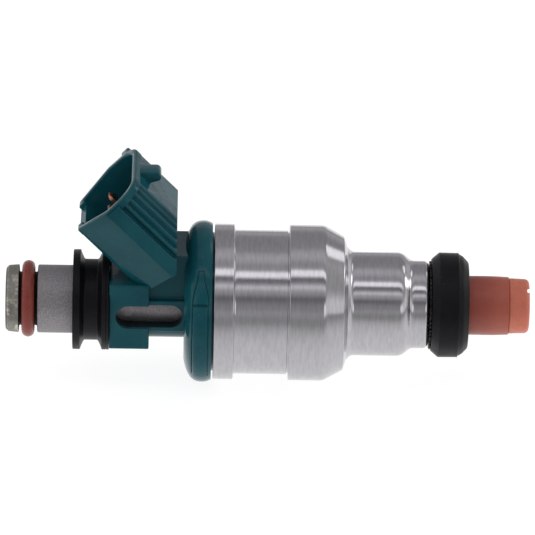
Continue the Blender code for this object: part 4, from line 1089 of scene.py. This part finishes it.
def collarPad(name, arc, across, proud):
    # a low pad laid on the collar: across(t) gives its two sides at a share t of its arc
    rings = []
    edge = collar["padEdge"]
    reach = abs(math.radians(arc[1] - arc[0])) * collar["padRadius"]
    for t in edgeShares(reach, edge, 40):
        low, high = across(t)
        ring = []
        for s in edgeShares(high - low, edge, 8):
            at = low + (high - low) * s
            near = min(s * (high - low), (1 - s) * (high - low), t * reach, (1 - t) * reach)
            lift = min(1.0, near / edge)
            lift = lift * lift * (3 - 2 * lift)
            ring.append((at, collarRadius(at) - 0.06 + (proud + 0.06) * lift))
        ring += [(high, collarRadius(high) - 0.6), (low, collarRadius(low) - 0.6)]
        rings.append(roundCollar(math.radians(arc[0] + (arc[1] - arc[0]) * t), ring))
    return loft(name, rings)


def collarMoat(name, arc, across):
    # the narrow channel round a pad, cut before the pad is laid
    wide, deep = collar["moat"]
    spare = math.degrees(wide / collar["moatRadius"]) * (1 if arc[1] > arc[0] else -1)
    first, last = arc[0] - spare, arc[1] + spare
    rings = []
    for t in (i / 40 for i in range(41)):
        low, high = across(t)
        low, high = low - wide, high + wide
        ring = [low + (high - low) * j / 8 for j in range(9)]
        ring = [(at, collarRadius(at) - deep) for at in ring]
        ring += [(high, collarRadius(high) + 0.8), (low, collarRadius(low) + 0.8)]
        rings.append(roundCollar(math.radians(first + (last - first) * t), ring))
    return loft(name, rings)


def pill(length, height, steps=15):
    reach = (length - height) / 2
    outline = []
    for side in (1, -1):
        for i in range(steps + 1):
            angle = math.pi * i / steps
            outline.append((side * (reach + height / 2 * math.sin(angle)),
                            side * height / 2 * math.cos(angle)))
    return outline


def buildConnectorBody():
    size = shroud
    rim = smoothThrough(collar["shape"], steps=5)
    shape = [(0, collar["bore"])] + rim + [
        (collar["lineAt"], collar["lineRadius"]), (collar["reach"], collar["lineRadius"]),
        (collar["reach"], collar["bore"])]
    body = turned("connectorBody", softOutline(shape), collarRear, "tealPlastic", sides=192)

    web = prism("neckWeb", neckSection(neck), blockFront - 0.5, collarRear + 1.0, alongX)
    base = prism("block", roundedRectangle(
        -block["halfWidth"], block["halfWidth"], -block["halfHeight"], block["halfHeight"],
        block["corner"]), blockRear, blockFront, alongX, block["round"], block["round"])
    panelLow, panelHigh = collar["panelX"]
    panel = collarPad("panel", collar["panelArc"], lambda t: (panelLow, panelHigh),
                      collar["panelProud"])
    wide, narrow = collar["bossHalf"]

    def bossSides(t):
        half = wide + (narrow - wide) * (t * t * (3 - 2 * t))
        return collar["bossX"] - half, collar["bossX"] + half
    boss = collarPad("boss", collar["bossArc"], bossSides, collar["bossProud"])

    hood = prism("hood", shroudSection(size, True), 0, size["depth"] - size["ribSetback"],
                 inShroud)
    lip = prism("lip", inset(shroudSection(size, False), -size["lipProud"]),
                size["depth"] - size["lip"], size["depth"],
                inShroud, 0.0, size["lipRound"])
    rearBox = prism("rearPlane", roundedRectangle(-20, 20, -10, 40, 0.1),
                    collarRear - size["rearPlane"], collarRear + 25, alongX)
    key = prism("keyRib", roundedRectangle(*size["key"], 0.45), 0.6, size["depth"] - 0.1,
                inShroud, 0.0, 0.3)
    combine(hood, [lip, key], "UNION")
    combine(hood, [rearBox], "DIFFERENCE")
    foot, front = size["height"] - 0.6, size["depth"] - size["lugSetback"]
    lug = prism("latchLug", softOutline([
        (foot, front + 0.6, 0.4),
        (size["height"] + size["lugRise"], front - size["lugRise"], 0.8),
        (size["height"] + size["lugRise"] - 0.6, front - size["lugLength"], 0.7),
        (foot, front - size["lugLength"] + 1.2, 0.4),
    ]), -size["lugHalf"], size["lugHalf"], lambda a, b, c: inShroud(a, c, b), 0.25, 0.25)
    moats = [collarMoat("panelMoat", collar["panelArc"], lambda t: collar["panelX"]),
             collarMoat("bossMoat", collar["bossArc"], bossSides)]
    combine(body, moats, "DIFFERENCE")
    combine(body, [web, base, hood, lug, panel, boss], "UNION")

    mouth = socketSection(size)
    floor = size["depth"] - size["socketDepth"]
    soft = size["mouthRound"]
    levels = [(floor, 0.0)] + [
        (size["depth"] - soft + soft * math.sin(t), -soft * (1 - math.cos(t)))
        for t in (math.pi / 2 * i / 4 for i in range(5))] + [(size["depth"] + 1.0, -soft)]
    socket = loft("socket", [
        [inShroud(a, b, at) for a, b in (inset(mouth, cut) if cut else mouth)]
        for at, cut in levels])
    inside = size["bottomHalf"] - size["earWidth"]
    recess = prism("rimRecess", roundedRectangle(-1.5, size["wall"] + 1.0, -inside, inside, 0.3),
                   size["depth"] - size["earLength"], size["depth"] + 1, inShroud)
    wide, narrow, deep = size["tubeBore"]
    bore = turned("tubeBore", [
        (blockRear - 2, 0.5), (blockRear - 2, wide), (blockRear + deep, wide),
        (blockRear + deep, narrow), (collarFront + 2, narrow), (collarFront + 2, 0.5)],
        0.0, sides=96)
    slotMiddle = collarRear - slot["frontWall"] - slot["length"] / 2
    side = prism("sideSlot", [
        (slotMiddle + a, b) for a, b in pill(slot["length"], slot["height"])], -9, 9, alongY)
    combine(body, [socket, recess, bore, side], "DIFFERENCE")
    finishMesh(body, 30.0)
    coat(body, "tealPlastic")
    standIn(body, "teal_plastic", "connector_body")


buildConnectorBody()
print("connector body built")


terminal = {"pitch": 4.9, "halfWidth": 1.15, "halfThick": 0.32, "height": 5.1, "tip": 12.9,
            "tailHeight": 7.4, "bend": 67.5, "corner": 0.1, "root": 6.5,
            # back from the tip, and shares of the width and thickness there
            "point": ((0.8, 1.0, 1.0), (0.4, 0.86, 0.8), (0.18, 0.66, 0.56),
                      (0.05, 0.52, 0.38), (0.0, 0.38, 0.2))}


def buildTerminal(name, side, size):
    across = side * size["pitch"] / 2
    rear = ends(name)[1]
    reach = (size["tailHeight"] - shroud["lift"]) * math.sqrt(2) - size["height"]
    full, deep = size["halfWidth"], size["halfThick"]
    rings = []

    def ring(place, wide=1.0, thick=1.0):
        rings.append([place(a, b) for a, b in roundedRectangle(
            -deep * thick, deep * thick, -full * wide, full * wide, size["corner"])])
    ring(lambda a, b: (rear, across + b, size["tailHeight"] + a))
    bend = inShroud(size["height"], 0, reach)
    tilt = math.radians(size["bend"])
    ring(lambda a, b: (bend[0] + a / math.tan(tilt), across + b, bend[2] + a))
    for back, wide, thick in ((size["tip"] - size["root"], 1.0, 1.0), *size["point"]):
        ring(lambda a, b: inShroud(size["height"] + a, across + b, size["tip"] - back),
             wide, thick)
    piece = loft(name.replace("_l", "L").replace("_r", "R"), rings)
    coat(piece, "copper")
    standIn(piece, "copper", name)


buildTerminal("terminal_left", 1, terminal)
buildTerminal("terminal_right", -1, terminal)
print("terminals built")


insideFinishes = {
    "plainSteel": ("armature", "yoke_plate"),
    "hardSteel": ("needle", "stop_plate", "valve_body"),
    "springSteel": ("return_spring",),
    "brass": ("preload_sleeve",),
    "copper": ("coil_winding", "coil_lead_left", "coil_lead_right"),
    "bobbinPlastic": ("coil_bobbin",),
    "blackRubber": ("bobbin_ring_front", "bobbin_ring_rear", "valve_body_ring"),
    "nylon": ("filter_frame", "filter_screen"),
}

for finish, nodes in insideFinishes.items():
    for node in nodes:
        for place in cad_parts[node].material_slots:
            place.material = finishes[finish]
print("inside pieces finished")
